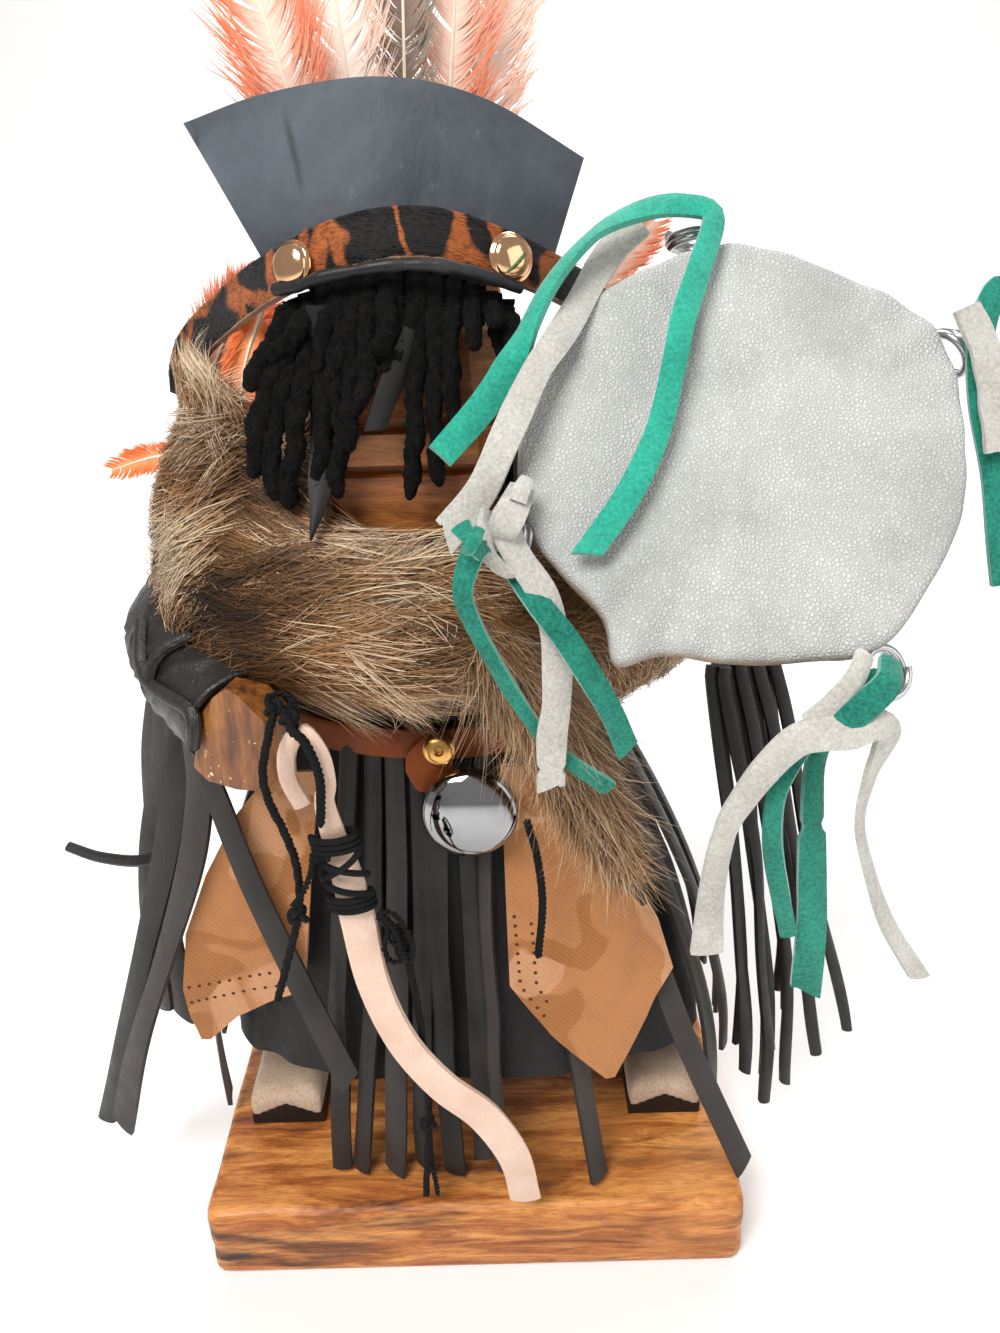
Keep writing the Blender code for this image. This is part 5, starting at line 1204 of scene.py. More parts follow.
def make_headband():
    random = np.random.default_rng(21)
    shape = Shape()
    path = run(BAND, 120)
    wide = np.interp(np.linspace(0, 1, 120), BAND_SHARES, BAND_WIDTHS)
    shape.strap(path, wide, 1.5, BAND_LOOKS, 0.5, 0.25, 0.0, (0, 1, 2))
    shape.made("hide_band", [HIDE, HIDE_BACK, HIDE_EDGE], ["headband"], "spotted_hide")
    shape = Shape()
    path = run(PIPING, 80)
    share = np.linspace(0.0, 1.0, 80)
    shape.tube(path + UP * 0.4, 0.98 + 0.1 * np.sin(share * 31.0) + 0.06 * np.sin(share * 67.0), 16)
    shape.made("band_piping", [PIPING_LEATHER], ["headband_piping"], "dark_leather")
    path = run(BAND, 200)
    for side, x in (("left", STUD_PLACES[0]), ("right", STUD_PLACES[1])):
        index = int(np.argmin(np.abs(path[:, 0] - x)))
        along = unit(path[index + 1] - path[index - 1])
        out = unit(BAND_LOOKS - along * BAND_LOOKS.dot(along))
        shape = Shape()
        base = path[index] + out * 1.5 + np.cross(along, out) * np.sign(np.cross(along, out)[2]) * -0.7
        lathe(shape, base, out, domed(STUD_RIM, 3.35, 1.4, 0.1, 1.5, 14), 48)
        shape.made("stud_" + side + "_brass", [STUD_METAL], ["stud_" + side], "brass", 45.0)
    edge = run(BAND, 400)
    side, face = frames(edge, BAND_LOOKS)
    wide = np.interp(np.linspace(0, 1, 400), BAND_SHARES, BAND_WIDTHS)
    shape = Shape()
    low = -np.sign(side[200][2])
    rim = edge + side * (low * (wide / 2.0 - 0.1))[:, None] + face * 0.5
    shape.tube(rim[::2], 0.24 + 0.05 * np.sin(np.arange(200) * 0.9), 6)
    shape.made("hide_rim", [HIDE_EDGE], (), "spotted_hide")
    count = 5200
    pick = random.integers(4, 396, count)
    reach = random.uniform(-0.96, 0.96, count)
    root = edge[pick] + side[pick] * (reach * wide[pick] / 2.0)[:, None] + face[pick] * 0.6
    lay = ways(edge)[pick] * random.choice((1.0, 0.8), count)[:, None]
    lay += face[pick] * 0.2 + random.normal(0, 0.14, (count, 3))
    length = random.uniform(0.9, 1.6, count)[:, None, None]
    steps = np.array((0.0, 0.5, 1.0))[None, :, None]
    strand = root[:, None] + unit(lay)[:, None] * steps * length
    hairs("hide_pile", face[pick], strand, (0.14, 0.1, 0.02), (0.0, 0.4, 1.0), HIDE, ())


make_headband()

CREST_HALF = 0.8
CREST_LOW = (
    (-26.5, -12.0, 206.5), (-17.0, -16.0, 206.5), (-5.0, -18.2, 206.5), (7.0, -16.0, 206.5),
    (17.8, -11.4, 206.5),
)
CREST_HIGH = (
    (-40.4, -6.0, 231.6), (-26.2, -9.0, 235.2), (-8.0, -10.0, 237.0), (8.0, -9.0, 233.8),
    (24.4, -5.0, 225.0),
)


def make_crest():
    """A fan of stiff leather, slightly waved, with square cut edges."""
    shape = Shape()
    columns, rows = 70, 34
    low, high = run(CREST_LOW, columns), run(CREST_HIGH, columns)
    share = np.linspace(0.0, 1.0, rows)[:, None, None]
    middle = low[None] + (high - low)[None] * share
    for row in range(rows):
        for column in range(columns):
            x, _, z = middle[row, column]
            middle[row, column, 1] += 0.5 * wobble(x * 0.06, z * 0.06, 1.0) * (row / rows)
    along = unit(np.gradient(middle, axis=1))
    rise = unit(np.gradient(middle, axis=0))
    face = unit(np.cross(along, rise))
    face *= np.where(face[..., 1:2] > 0.0, -1.0, 1.0)
    front, back = middle + face * CREST_HALF, middle - face * CREST_HALF
    shape.rings([np.vstack((front[row], back[row, ::-1])) for row in reversed(range(rows))])
    shape.made("crest_fan", [CREST_LEATHER], ["crest"], "blue_leather")


make_crest()

# From the doll's left: sideways place at the top and at the tip, the tip's height from the head's top, half
# width, and how smooth the loc is
LOCS = (
    (-24.8, -32.2, -33.3, 1.9, 0.0), (-22.4, -28.4, -36.6, 1.7, 0.0), (-20.0, -25.6, -38.2, 1.8, 0.0),
    (-17.6, -20.6, -36.2, 1.6, 0.3), (-15.2, -17.9, -36.8, 1.7, 0.0), (-12.8, -15.4, -29.1, 1.7, 0.0),
    (-10.2, -12.9, -23.5, 1.6, 0.2), (-7.1, -8.8, -14.0, 1.7, 0.0), (-3.0, -5.2, -36.7, 1.6, 0.0),
    (-0.5, -0.5, -35.2, 1.4, 0.0), (2.4, 3.4, -27.3, 1.35, 0.0), (5.3, 6.7, -13.6, 1.4, 0.2),
    (8.1, 9.4, -10.8, 1.4, 0.0), (10.8, 13.9, -18.4, 1.6, 0.0),
)


FLAT_LOC = (
    (-3.6, -27.6, HEAD_TOP - 11.0), (-5.6, -28.8, HEAD_TOP - 15.0), (-8.4, -30.2, HEAD_TOP - 20.6),
    (-10.6, -30.6, HEAD_TOP - 25.6),
)
FACE_TAB = (
    (-19.0, -25.2, 205.0), (-19.2, -26.2, 194.0), (-19.6, -28.0, 184.0), (-20.4, -31.8, 176.0),
    (-21.9, -35.0, 169.7),
)


def make_locs():
    """Woolly locs, flat and packed under the band, then lumpy and matted as they hang, and two tabs."""
    random = np.random.default_rng(31)
    shape, smooth = Shape(), Shape()
    fuzz_roots, fuzz_paths = [], []
    rows, columns = 66, 14
    shares = np.linspace(0.0, 1.0, rows)
    under = [(x + 1.1, x_low + 1.6 * math.sin(7.0 * x), -12.0 - 9.0 * abs(math.sin(3.0 * x)),
              half * 0.85, 0.0) for x, x_low, _, half, _ in LOCS[:-1]]
    for index, (x, x_low, low, half, even) in enumerate(list(LOCS) + under):
        behind = 1.7 if index >= len(LOCS) else 0.0
        across = (x - LOCS[0][0]) / (LOCS[-1][0] - LOCS[0][0]) * 2.0 - 1.0
        top = -4.2 - 4.8 * across * across
        y, push = -23.9 + 4.6 * across * across, -29.0 + 1.4 * across * across
        drop, sideways = low - top, x_low - x
        sway = random.normal(0.0, 0.5, 3) * (1.0 - even)
        controls = ((x, y + 0.6, HEAD_TOP + top + 1.6), (x, y, HEAD_TOP + top),
                    (x + sideways * 0.25 + sway[0] * 0.4, push + 1.2, HEAD_TOP + top + drop * 0.3),
                    (x + sideways * 0.6 + sway[1], push - 0.8, HEAD_TOP + top + drop * 0.62),
                    (x_low + sway[2] * 0.6, push - 1.6, HEAD_TOP + low))
        path = run(controls, rows)
        lumps = np.array([wobble(index * 3.1, s * drop * 0.28, 0.0) for s in shares])
        radius = half * (1.16 - 0.28 * shares + 0.24 * lumps * (1.0 - even))
        radius[-5:] *= (0.97, 0.9, 0.78, 0.6, 0.3)
        wander = np.stack([[wobble(index * 2.0 + k, s * drop * 0.2, k * 5.0) for s in shares]
                           for k in range(3)], 1)
        path = path + wander * (1.1 * shares * (1.0 - even))[:, None] + np.array((0.0, behind, 0.0))
        side, face = frames(path, FRONT)
        turn = 0.5 * np.sin(shares * 5.0 + index) * shares
        flat = 0.62 + 0.3 * shares * (1.0 - even) - 0.34 * even
        rings = []
        for row in range(rows):
            ring = []
            for column in range(columns):
                angle = math.tau * column / columns
                c, s = math.cos(angle), -math.sin(angle)
                spot = Vector((c * 1.6, s * 1.6, shares[row] * abs(drop) * 0.9 + index * 9.0))
                lump = 0.34 * noise.noise(spot) + 0.2 * noise.noise(spot * 2.3)
                lump = 1.0 + lump * (1.0 - 0.85 * even) * min(1.0, 0.35 + shares[row] * 2.0)
                wide, deep = c * radius[row] * lump, s * radius[row] * lump * flat[row]
                t = turn[row]
                ring.append(path[row] + side[row] * (wide * math.cos(t) - deep * math.sin(t))
                            + face[row] * (wide * math.sin(t) + deep * math.cos(t)))
            rings.append(ring)
        shape.rings(rings, random.uniform(0.0, 0.6))
        for _ in range(0 if behind else 190):
            row = random.integers(3, rows - 1)
            angle = random.uniform(0.0, math.tau)
            out = side[row] * math.cos(angle) + face[row] * math.sin(angle)
            root = path[row] + side[row] * math.cos(angle) * radius[row] * 0.9
            root += face[row] * math.sin(angle) * radius[row] * flat[row] * 0.9
            lay = unit(out * random.uniform(0.2, 0.7) + ways(path)[row] * random.uniform(-0.4, 1.2)
                       + random.normal(0, 0.35, 3))
            bend = random.normal(0, 0.5, 3)
            length = random.uniform(0.5, 1.5)
            fuzz_roots.append(out)
            fuzz_paths.append([root, root + lay * length * 0.5, root + (lay + bend) * length])
    shape.made("woolly_locs", [FELT], ["face_locs"], "black_wool", 80.0)
    share = np.linspace(0.0, 1.0, 40)
    smooth.strap(run(FLAT_LOC, 40), 4.0 - 0.9 * share ** 3, 1.1, (0.3, -1.0, 0.0), 0.5, 0.5,
                 np.linspace(0.4, -0.2, 40), slant=0.5)
    smooth.made("flat_loc", [TAB_LEATHER], (), "black_wool", 50.0)
    hairs("loc_fuzz", np.array(fuzz_roots), fuzz_paths, (0.1, 0.09, 0.03), (0.2, 0.5, 0.9), WOOL, ())
    shape = Shape()
    shape.strap(run(FACE_TAB, 40), (3.2 + 1.4 * share) * (1.0 - np.maximum(0.0, share - 0.74) * 3.6), 1.0,
                (0.0, -1.0, 0.0), 0.2, 0.3)
    shape.made("pointed_tab", [TAB_LEATHER], ["face_tab"], "black_leather")


make_locs()


# Drum
DRUM_RADIUS = 33.6
DRUM_DEPTH = 9.5
DRUM_CENTRE = np.array((46.0, -42.5, 185.5))
DRUM_TILT = math.radians(40.0)
DRUM_FACE = np.array((0.0, -math.cos(DRUM_TILT), math.sin(DRUM_TILT)))
DRUM_RISE = np.array((0.0, math.sin(DRUM_TILT), math.cos(DRUM_TILT)))
DRUM_RIGHT = np.array((1.0, 0.0, 0.0))
DRUM_CORNERS = (
    (88.0, 1.8, 9.0), (32.0, 3.2, 10.0), (-62.0, 2.6, 16.0), (-122.0, 4.4, 150.0), (-121.0, 1.6, 22.0),
    (-160.0, 1.4, 12.0),
)


# From the middle of the face over the wall to the back: depth and share of the radius
DRUM_LEVELS = (
    (0.0, 0.02), (0.0, 0.2), (0.0, 0.4), (0.0, 0.58), (0.0, 0.72), (0.0, 0.82), (0.0, 0.89), (0.0, 0.94),
    (0.12, 0.972), (0.45, 0.99), (1.1, 1.0), (2.4, 1.0), (4.2, 0.992), (5.8, 0.975), (7.4, 0.945),
    (8.6, 0.9), (9.3, 0.84), (DRUM_DEPTH, 0.7), (DRUM_DEPTH, 0.4), (DRUM_DEPTH, 0.05),
)


def drum_radius(angle):
    reach = DRUM_RADIUS
    for corner, out, sharp in DRUM_CORNERS:
        away = math.radians(abs((math.degrees(angle) - corner + 180.0) % 360.0 - 180.0))
        reach += out * math.exp(-sharp * away * away)
    return reach


def make_drum():
    """Soft white leather drawn over a round frame, creased towards its corners."""
    shape = Shape()
    sides = 288
    rings = []
    for depth, share in DRUM_LEVELS:
        ring = []
        for index in range(sides):
            angle = -math.tau * index / sides
            full = drum_radius(angle)
            corner = (full - DRUM_RADIUS) * min(1.0, max(0.0, share - 0.4) / 0.5)
            corner *= 1.0 if depth < 3.0 else 0.6
            reach = DRUM_RADIUS * share + corner * (share > 0.4)
            edge = max(0.0, (share - 0.6) / 0.4)
            crease = 0.0
            for corner_angle, out, _ in DRUM_CORNERS:
                away = math.radians((math.degrees(angle) - corner_angle + 180.0) % 360.0 - 180.0)
                crease += 0.5 * out / 5.0 * math.exp(-6.0 * away * away) * math.cos(away * 26.0) * edge
            u, v = math.cos(angle) * share * DRUM_RADIUS, math.sin(angle) * share * DRUM_RADIUS
            dip = (u + 5.2 + 0.004 * (v + 2.0) ** 2) / 1.7
            fold = 0.55 * math.exp(-((dip - 1.6) / 1.5) ** 2) - 0.75 * math.exp(-dip * dip)
            crease += fold * (1.0 - edge) * (depth < 0.1)
            flow = wobble(math.cos(angle) * share * 2.4, math.sin(angle) * share * 2.4, 2.0)
            pucker = 0.35 * math.sin(angle * 23.0 + 2.0 * math.sin(angle * 3.0))
            pucker *= max(0.0, edge - 0.3) * (depth < 8.0)
            lift = -0.7 * (1.0 - share ** 2) * (depth < 0.1) + 0.7 * flow * (depth < 3.0)
            lift += crease + pucker * 0.6
            spot = (DRUM_CENTRE + DRUM_RIGHT * math.cos(angle) * reach + DRUM_RISE * math.sin(angle) * reach
                    - DRUM_FACE * (depth - lift * (1.0 if depth < 4.0 else 0.3)))
            ring.append(spot)
        rings.append(ring)
    # Painted shade: the tone that browns the skin grows with depth over the rim and is strongest on the
    # lower side, where the wall faces down; the values named stain are this painted shade.
    below = np.clip(0.25 + 1.1 * np.sin(np.linspace(0.0, math.tau, sides, endpoint=False)), 0.15, 1.0)
    stain = np.array([min(1.0, max(0.0, (depth - 0.1) / 1.6)) for depth, share in DRUM_LEVELS])
    shape.rings(rings, stain[:, None] * below[None])
    shape.made("drum_leather", [DRUM_LEATHER], ["drum"], "white_leather", 70.0)


make_drum()


def on_drum(angle, reach, depth=0.0):
    turn = math.radians(angle)
    out = DRUM_RIGHT * math.cos(turn) + DRUM_RISE * math.sin(turn)
    return DRUM_CENTRE + out * reach - DRUM_FACE * depth


# Split rings: angle on the drum, reach from its centre, depth behind its face, tip of the ring
RINGS = (
    ("top", 96.0, 39.6, 5.0, 25.0), ("left", -160.0, 37.4, 4.0, 70.0), ("bottom", -63.0, 39.4, 3.6, 60.0),
    ("right", 26.0, 39.0, 4.6, 65.0),
)
RING_RADIUS, RING_PITCH, RING_WIRE = 3.7, 1.05, 0.66


def make_rings():
    """Split rings: two turns of wire side by side."""
    for name, angle, reach, depth, tip in RINGS:
        place = on_drum(angle, reach, depth)
        turn = Matrix.Rotation(math.radians(angle + 90.0), 3, "Z")
        turn = turn @ Matrix.Rotation(math.radians(tip), 3, "X")
        t = np.linspace(0.0, math.tau * 2.0, 110)
        spiral = np.stack((np.cos(t) * RING_RADIUS, np.sin(t) * RING_RADIUS,
                           (t / math.tau - 1.0) * RING_PITCH), 1)
        path = np.array([turn @ Vector(point) for point in spiral]) + place
        shape = Shape()
        shape.tube(path, RING_WIRE, 12)
        shape.made("split_ring_" + name, [STEEL], ["ring_" + name], "steel_wire", 60.0)


make_rings()

TEAL = (TEAL_SUEDE, TEAL_BACK, TEAL_BACK)
FELTED = (TEAL_FELT, TEAL_BACK, TEAL_BACK)
WHITE = (WHITE_SUEDE, WHITE_SUEDE, WHITE_SUEDE)
EVEN = ((0.0, 0.0), (1.0, 0.0))
# Each lace: its path, its width at shares of its length, and how far it is turned there
LACES = (
    (
        "top_teal", TEAL,
        (
            (0.6, -47.0, 185.9), (7.5, -41.4, 192.4), (11.8, -36.4, 198.1), (17.4, -31.0, 207.7),
            (24.7, -25.0, 214.4), (33.0, -21.5, 217.6), (39.9, -19.5, 217.9), (43.8, -20.8, 216.2),
            (40.8, -27.4, 209.4), (37.7, -33.2, 203.2), (35.9, -37.4, 197.4), (32.7, -44.2, 188.2),
            (27.9, -50.4, 180.6), (21.3, -56.6, 173.6),
        ),
        ((0.0, 4.3), (0.14, 4.5), (0.2, 4.0), (0.5, 3.7), (1.0, 3.9)),
        ((0.0, 0.0), (0.13, 0.0), (0.19, 0.9), (0.34, 1.0), (0.46, 0.1), (1.0, 0.0)),
    ),
    (
        "top_white", WHITE,
        (
            (32.8, -16.5, 215.2), (27.4, -20.2, 211.1), (21.4, -30.0, 203.5), (18.1, -36.0, 199.9),
            (14.9, -40.5, 196.4), (10.2, -47.6, 188.7), (6.3, -49.6, 181.1), (1.0, -49.8, 174.8),
        ),
        ((0.0, 4.6), (0.6, 4.4), (1.0, 5.0)), EVEN,
    ),
    (
        "left_teal", FELTED,
        (
            (25.7, -54.0, 132.5), (19.2, -54.8, 138.1), (14.8, -55.2, 143.2), (10.1, -55.6, 151.2),
            (7.0, -56.0, 157.6), (4.7, -56.2, 162.8), (3.3, -56.4, 167.5), (4.0, -56.4, 171.6),
            (5.8, -56.0, 175.1), (8.6, -51.0, 173.4), (11.0, -51.4, 169.8), (14.3, -56.6, 166.3),
            (18.2, -59.0, 161.6), (21.9, -59.8, 155.5), (25.2, -59.2, 149.1), (27.9, -58.0, 142.0),
        ),
        ((0.0, 2.9), (0.2, 2.2), (0.42, 2.9), (0.55, 3.6), (1.0, 3.8)),
        ((0.0, 0.5), (0.3, 0.7), (0.5, 0.2), (1.0, 0.0)),
    ),
    (
        "left_white", WHITE,
        (
            (9.9, -53.6, 176.4), (11.5, -54.2, 172.7), (15.3, -55.8, 166.7), (16.9, -56.8, 159.5),
            (17.0, -57.3, 150.5), (16.2, -57.5, 143.9), (16.1, -57.2, 135.2),
        ),
        ((0.0, 4.2), (0.25, 4.2), (0.9, 4.6), (0.93, 3.4), (0.95, 4.6), (1.0, 4.4)), EVEN,
    ),
    (
        "bottom_teal", FELTED,
        (
            (53.7, -66.0, 111.7), (51.2, -66.8, 120.4), (48.9, -67.4, 130.3), (48.4, -68.0, 138.8),
            (49.8, -68.8, 145.0), (52.2, -69.6, 150.7), (55.4, -70.2, 155.4), (58.7, -70.0, 158.3),
            (60.9, -68.2, 157.9), (59.3, -66.7, 154.1), (55.9, -66.2, 149.2), (54.6, -65.8, 143.1),
            (55.2, -65.6, 134.0), (56.4, -65.4, 122.7), (57.5, -65.2, 112.6), (58.0, -65.0, 99.0),
        ),
        (
            (0.0, 3.0), (0.35, 2.7), (0.48, 3.6), (0.62, 3.3), (0.7, 3.4), (0.71, 2.2), (0.725, 4.2),
            (0.8, 4.7), (1.0, 4.9),
        ),
        ((0.0, 0.3), (0.2, 0.6), (0.4, 0.2), (0.6, 0.4), (1.0, 0.0)),
    ),
    (
        "bottom_white", WHITE,
        (
            (40.6, -66.6, 109.0), (40.4, -67.6, 122.2), (41.4, -68.6, 133.8), (43.6, -69.6, 140.4),
            (46.3, -71.2, 146.7), (49.1, -72.8, 151.4), (52.1, -73.8, 153.0), (55.9, -73.9, 153.3),
            (59.1, -73.6, 154.2), (61.6, -72.8, 152.4), (61.5, -71.8, 148.6), (60.9, -70.8, 143.8),
            (60.9, -69.8, 135.4), (64.1, -69.0, 125.5), (68.7, -68.0, 114.7), (75.6, -67.0, 103.2),
        ),
        (
            (0.0, 5.2), (0.22, 3.2), (0.33, 4.4), (0.46, 4.9), (0.54, 3.6), (0.6, 2.6), (0.72, 2.2),
            (0.85, 2.8), (1.0, 3.0),
        ),
        ((0.0, 0.0), (0.5, 0.0), (0.66, 0.9), (0.8, 0.8), (1.0, 0.2)),
    ),
    (
        "right_teal", FELTED,
        (
            (89.4, -42.6, 161.9), (86.0, -40.6, 177.9), (83.4, -37.2, 189.8), (83.2, -33.4, 199.6),
            (86.4, -30.6, 205.4), (91.4, -31.2, 197.0), (93.6, -33.4, 184.0), (92.6, -34.6, 170.0),
        ),
        ((0.0, 4.0), (1.0, 4.0)), EVEN,
    ),
    (
        "right_white", WHITE, ((79.4, -35.4, 203.4), (82.6, -38.6, 196.0), (85.4, -41.6, 183.0)),
        ((0.0, 4.4), (1.0, 4.6)), EVEN,
    ),
)
# Turns of lace about the rings: the lace each belongs to, its path, its widths and its turn
KNOTS = {
    "left_white": (
        (
            (
                (12.4, -49.6, 181.6), (11.2, -53.6, 180.2), (9.8, -55.4, 178.0), (9.0, -53.8, 175.6),
                (9.8, -49.8, 174.0), (12.0, -46.8, 173.4),
            ),
            ((0.0, 3.8), (0.35, 4.8), (0.6, 4.2), (0.8, 2.8), (1.0, 2.2)), 0.0,
        ),
        (
            (
                (7.4, -52.0, 178.8), (7.0, -54.6, 176.4), (7.6, -54.8, 173.2), (9.8, -54.4, 171.0),
                (12.4, -51.4, 170.4),
            ),
            ((0.0, 2.4), (1.0, 3.0)), 0.9,
        ),
        (((13.2, -50.0, 182.8), (12.4, -53.2, 182.6), (11.6, -54.0, 180.8)), ((0.0, 2.4), (1.0, 2.5)), 0.1),
    ),
    "left_teal": (
        (
            (
                (3.5, -58.4, 178.9), (4.3, -59.8, 178.0), (5.0, -60.4, 177.0), (5.7, -59.8, 176.0),
                (6.5, -58.4, 175.1),
            ),
            ((0.0, 3.0), (0.5, 1.5), (1.0, 3.0)), 0.0,
        ),
        (
            ((3.9, -58.6, 175.8), (4.6, -61.0, 176.5), (5.4, -61.0, 177.5), (6.1, -58.6, 178.3)),
            ((0.0, 1.8), (1.0, 1.8)), 0.0,
        ),
    ),
    "bottom_white": (
        (
            ((58.4, -69.0, 162.6), (56.2, -72.0, 160.2), (53.2, -72.8, 156.8), (50.6, -72.2, 153.8)),
            ((0.0, 2.6), (0.5, 3.0), (1.0, 2.8)), 0.2,
        ),
    ),
    "bottom_teal": (
        (
            (
                (62.4, -68.0, 161.0), (60.6, -72.4, 159.8), (57.2, -73.6, 156.8), (53.8, -73.2, 153.0),
                (51.6, -72.0, 149.8),
            ),
            ((0.0, 3.4), (0.5, 4.2), (1.0, 3.4)), 0.0,
        ),
    ),
}


def make_laces():
    random = np.random.default_rng(41)
    for name, suedes, controls, widths, turns in LACES:
        path = run(controls, 110)
        share = np.linspace(0.0, 1.0, 110)
        shape = Shape()
        width = np.interp(share, *zip(*widths)) + 0.16 * np.sin(share * 23.0 + random.uniform(0, 6))
        twist = np.interp(share, *zip(*turns)) + 0.14 * np.sin(share * 7.0 + random.uniform(0, 6))
        shape.strap(path, width, 1.1, (0.0, -0.9, 0.35), 0.5, 0.3, twist, (0, 1, 2),
                    random.choice((-0.7, 0.6)))
        for controls, widths, turn in KNOTS.get(name, ()):
            share = np.linspace(0.0, 1.0, 36)
            shape.strap(run(controls, 36), np.interp(share, *zip(*widths)), 1.0, (0.0, -0.9, 0.35), 0.5,
                        0.3, turn, (0, 1, 2))
        shape.made("thong_" + name, list(suedes), ["lace_" + name],
                   "white_suede" if suedes is WHITE else "teal_suede")


make_laces()


# Whip
WHIP_LOOP = (
    (-26.2, -46.0, 125.5), (-28.2, -45.6, 131.0), (-27.6, -45.8, 136.6), (-24.6, -47.2, 140.6),
    (-21.6, -48.8, 137.4), (-20.8, -49.4, 132.0),
)
WHIP_PATH = (
    (-21.6, -49.2, 127.0), (-19.6, -48.2, 113.0), (-18.4, -48.4, 103.0), (-16.6, -49.2, 88.0),
    (-12.0, -50.0, 74.0), (-5.0, -50.2, 62.6), (3.0, -50.0, 53.6), (8.8, -49.2, 41.0), (11.0, -47.4, 26.0),
)


def make_whip():
    shape = Shape()
    path = run(WHIP_LOOP + WHIP_PATH, 150)
    share = np.linspace(0.0, 1.0, 150)
    width = 3.0 + 3.4 * np.clip((share - 0.2) * 5.0, 0.0, 1.0)
    twist = 0.22 * np.sin(share * 9.0)
    shape.strap(path, width, 1.4, (0.0, -1.0, 0.1), 0.5, 0.5, twist, slant=-0.3)
    shape.made("whip_leather", [WHIP_LEATHER], ["whip"], "cream_leather")
    start, end = np.array((-20.9, -48.7, 121.6)), np.array((-18.7, -48.3, 105.4))
    way = unit(end - start)
    side = unit(np.cross(way, FRONT))
    face = np.cross(side, way)
    shape = Shape()

    def wrapped(along, angle, wide=3.9, deep=2.1):
        return start + way * along + side * math.cos(angle) * wide + face * math.sin(angle) * deep

    for first, turns in ((0.0, 3.2), (13.0, 3.0)):
        t = np.linspace(0.0, math.tau * turns, int(46 * turns))
        shape.tube([wrapped(first + v / math.tau * 1.15, v) for v in t], 0.62, 7)
    for turn, phase, first, last in ((1.0, 0.0, 3.0, 9.4), (-1.0, math.pi, 3.0, 9.4),
                                     (1.0, 0.0, 8.2, 13.6)):
        t = np.linspace(-0.3, math.pi + 0.3, 40)
        shape.tube([wrapped(first + (last - first) * v / math.pi, turn * v + phase, 4.0, 2.5) for v in t],
                   0.6, 7)
    shape.made("whip_binding", [BLACK_CORD], ["whip_lashing"], "black_cord", 80.0)


make_whip()


# Feathers
FEATHER_FANS = (
    (-18.0, -36.0, -4.0, 282.0, 14.0), (-12.0, -20.0, -1.6, 292.0, 13.0), (-6.0, -4.0, 0.8, 288.0, 9.0),
    (0.0, 7.0, 3.2, 290.0, 13.0), (4.0, 15.0, 5.6, 276.0, 12.0),
)
PEACH = strands("peach barbs", rgb(246, 214, 196), rgb(240, 158, 124), rgb(250, 128, 74), 0.75)
CREAM = strands("cream barbs", rgb(250, 236, 222), rgb(246, 214, 196), rgb(244, 186, 156), 0.75)
ORANGE = strands("orange barbs", rgb(246, 170, 120), rgb(245, 132, 70), rgb(240, 112, 48), 0.75)
GREY = strands("grey barbs", rgb(120, 104, 92), rgb(168, 150, 134), rgb(206, 190, 172), 0.75)
QUILL = Look("quill", 0.45, Base_Color=rgb(238, 222, 200)).material


BARB_WIDTHS = (0.34, 0.34, 0.3, 0.26, 0.18, 0.05)
QUILLS_LOW = 212.6


def feather(name, controls, wide, barbs, colours, seed, replaced, fluff=0.5):
    """A quill with barbs down both sides, loose and downy towards the base."""
    random = np.random.default_rng(seed)
    path = run(controls, 60)
    share = np.linspace(0.0, 1.0, 60)
    shape = Shape()
    shape.tube(path, 0.42 * (1.0 - share * 0.8), 7)
    shape.made(name + "_quill", [QUILL], replaced, "feather")
    along, (side, face) = ways(path), frames(path, FRONT)
    spots = np.sort(random.uniform(0.06, 0.995, barbs))
    rows = spots * 59.0
    low = np.minimum(rows.astype(int), 58)
    part = (rows - low)[:, None]

    def at(values):
        return values[low] * (1.0 - part) + values[low + 1] * part

    root, way, across, out = at(path), at(along), at(side), at(face)
    hand = np.where(np.arange(barbs) % 2 == 0, 1.0, -1.0)[:, None]
    reach = wide / 2.0 * (0.45 + 0.55 * np.sin(math.pi * np.clip(spots * 0.9 + 0.1, 0, 1)))
    reach = reach * random.uniform(0.75, 1.12, barbs)
    clump = np.repeat(random.normal(0, 0.18, barbs // 12 + 1), 12)[:barbs]
    steps = np.linspace(0.0, 1.0, 6)
    loose = fluff * (1.15 - spots)
    sway = random.normal(0, 1.0, (barbs, 3)) * loose[:, None]
    strand = []
    for step in steps:
        lean_on = 0.75 + clump[:, None] + 0.55 * step
        move = across * hand * step * (1.0 - 0.2 * step) + way * step * lean_on * 0.75
        droop = out * (0.12 * step * step) + sway * 0.28 * step * step
        strand.append(root + (move + droop) * reach[:, None])
    strand = np.stack(strand, 1)
    tone = np.clip(steps[None] * 0.9 + random.normal(0, 0.1, (barbs, 1)), 0.0, 1.0)
    hairs(name + "_barbs", out, strand, BARB_WIDTHS, tone, colours, ())


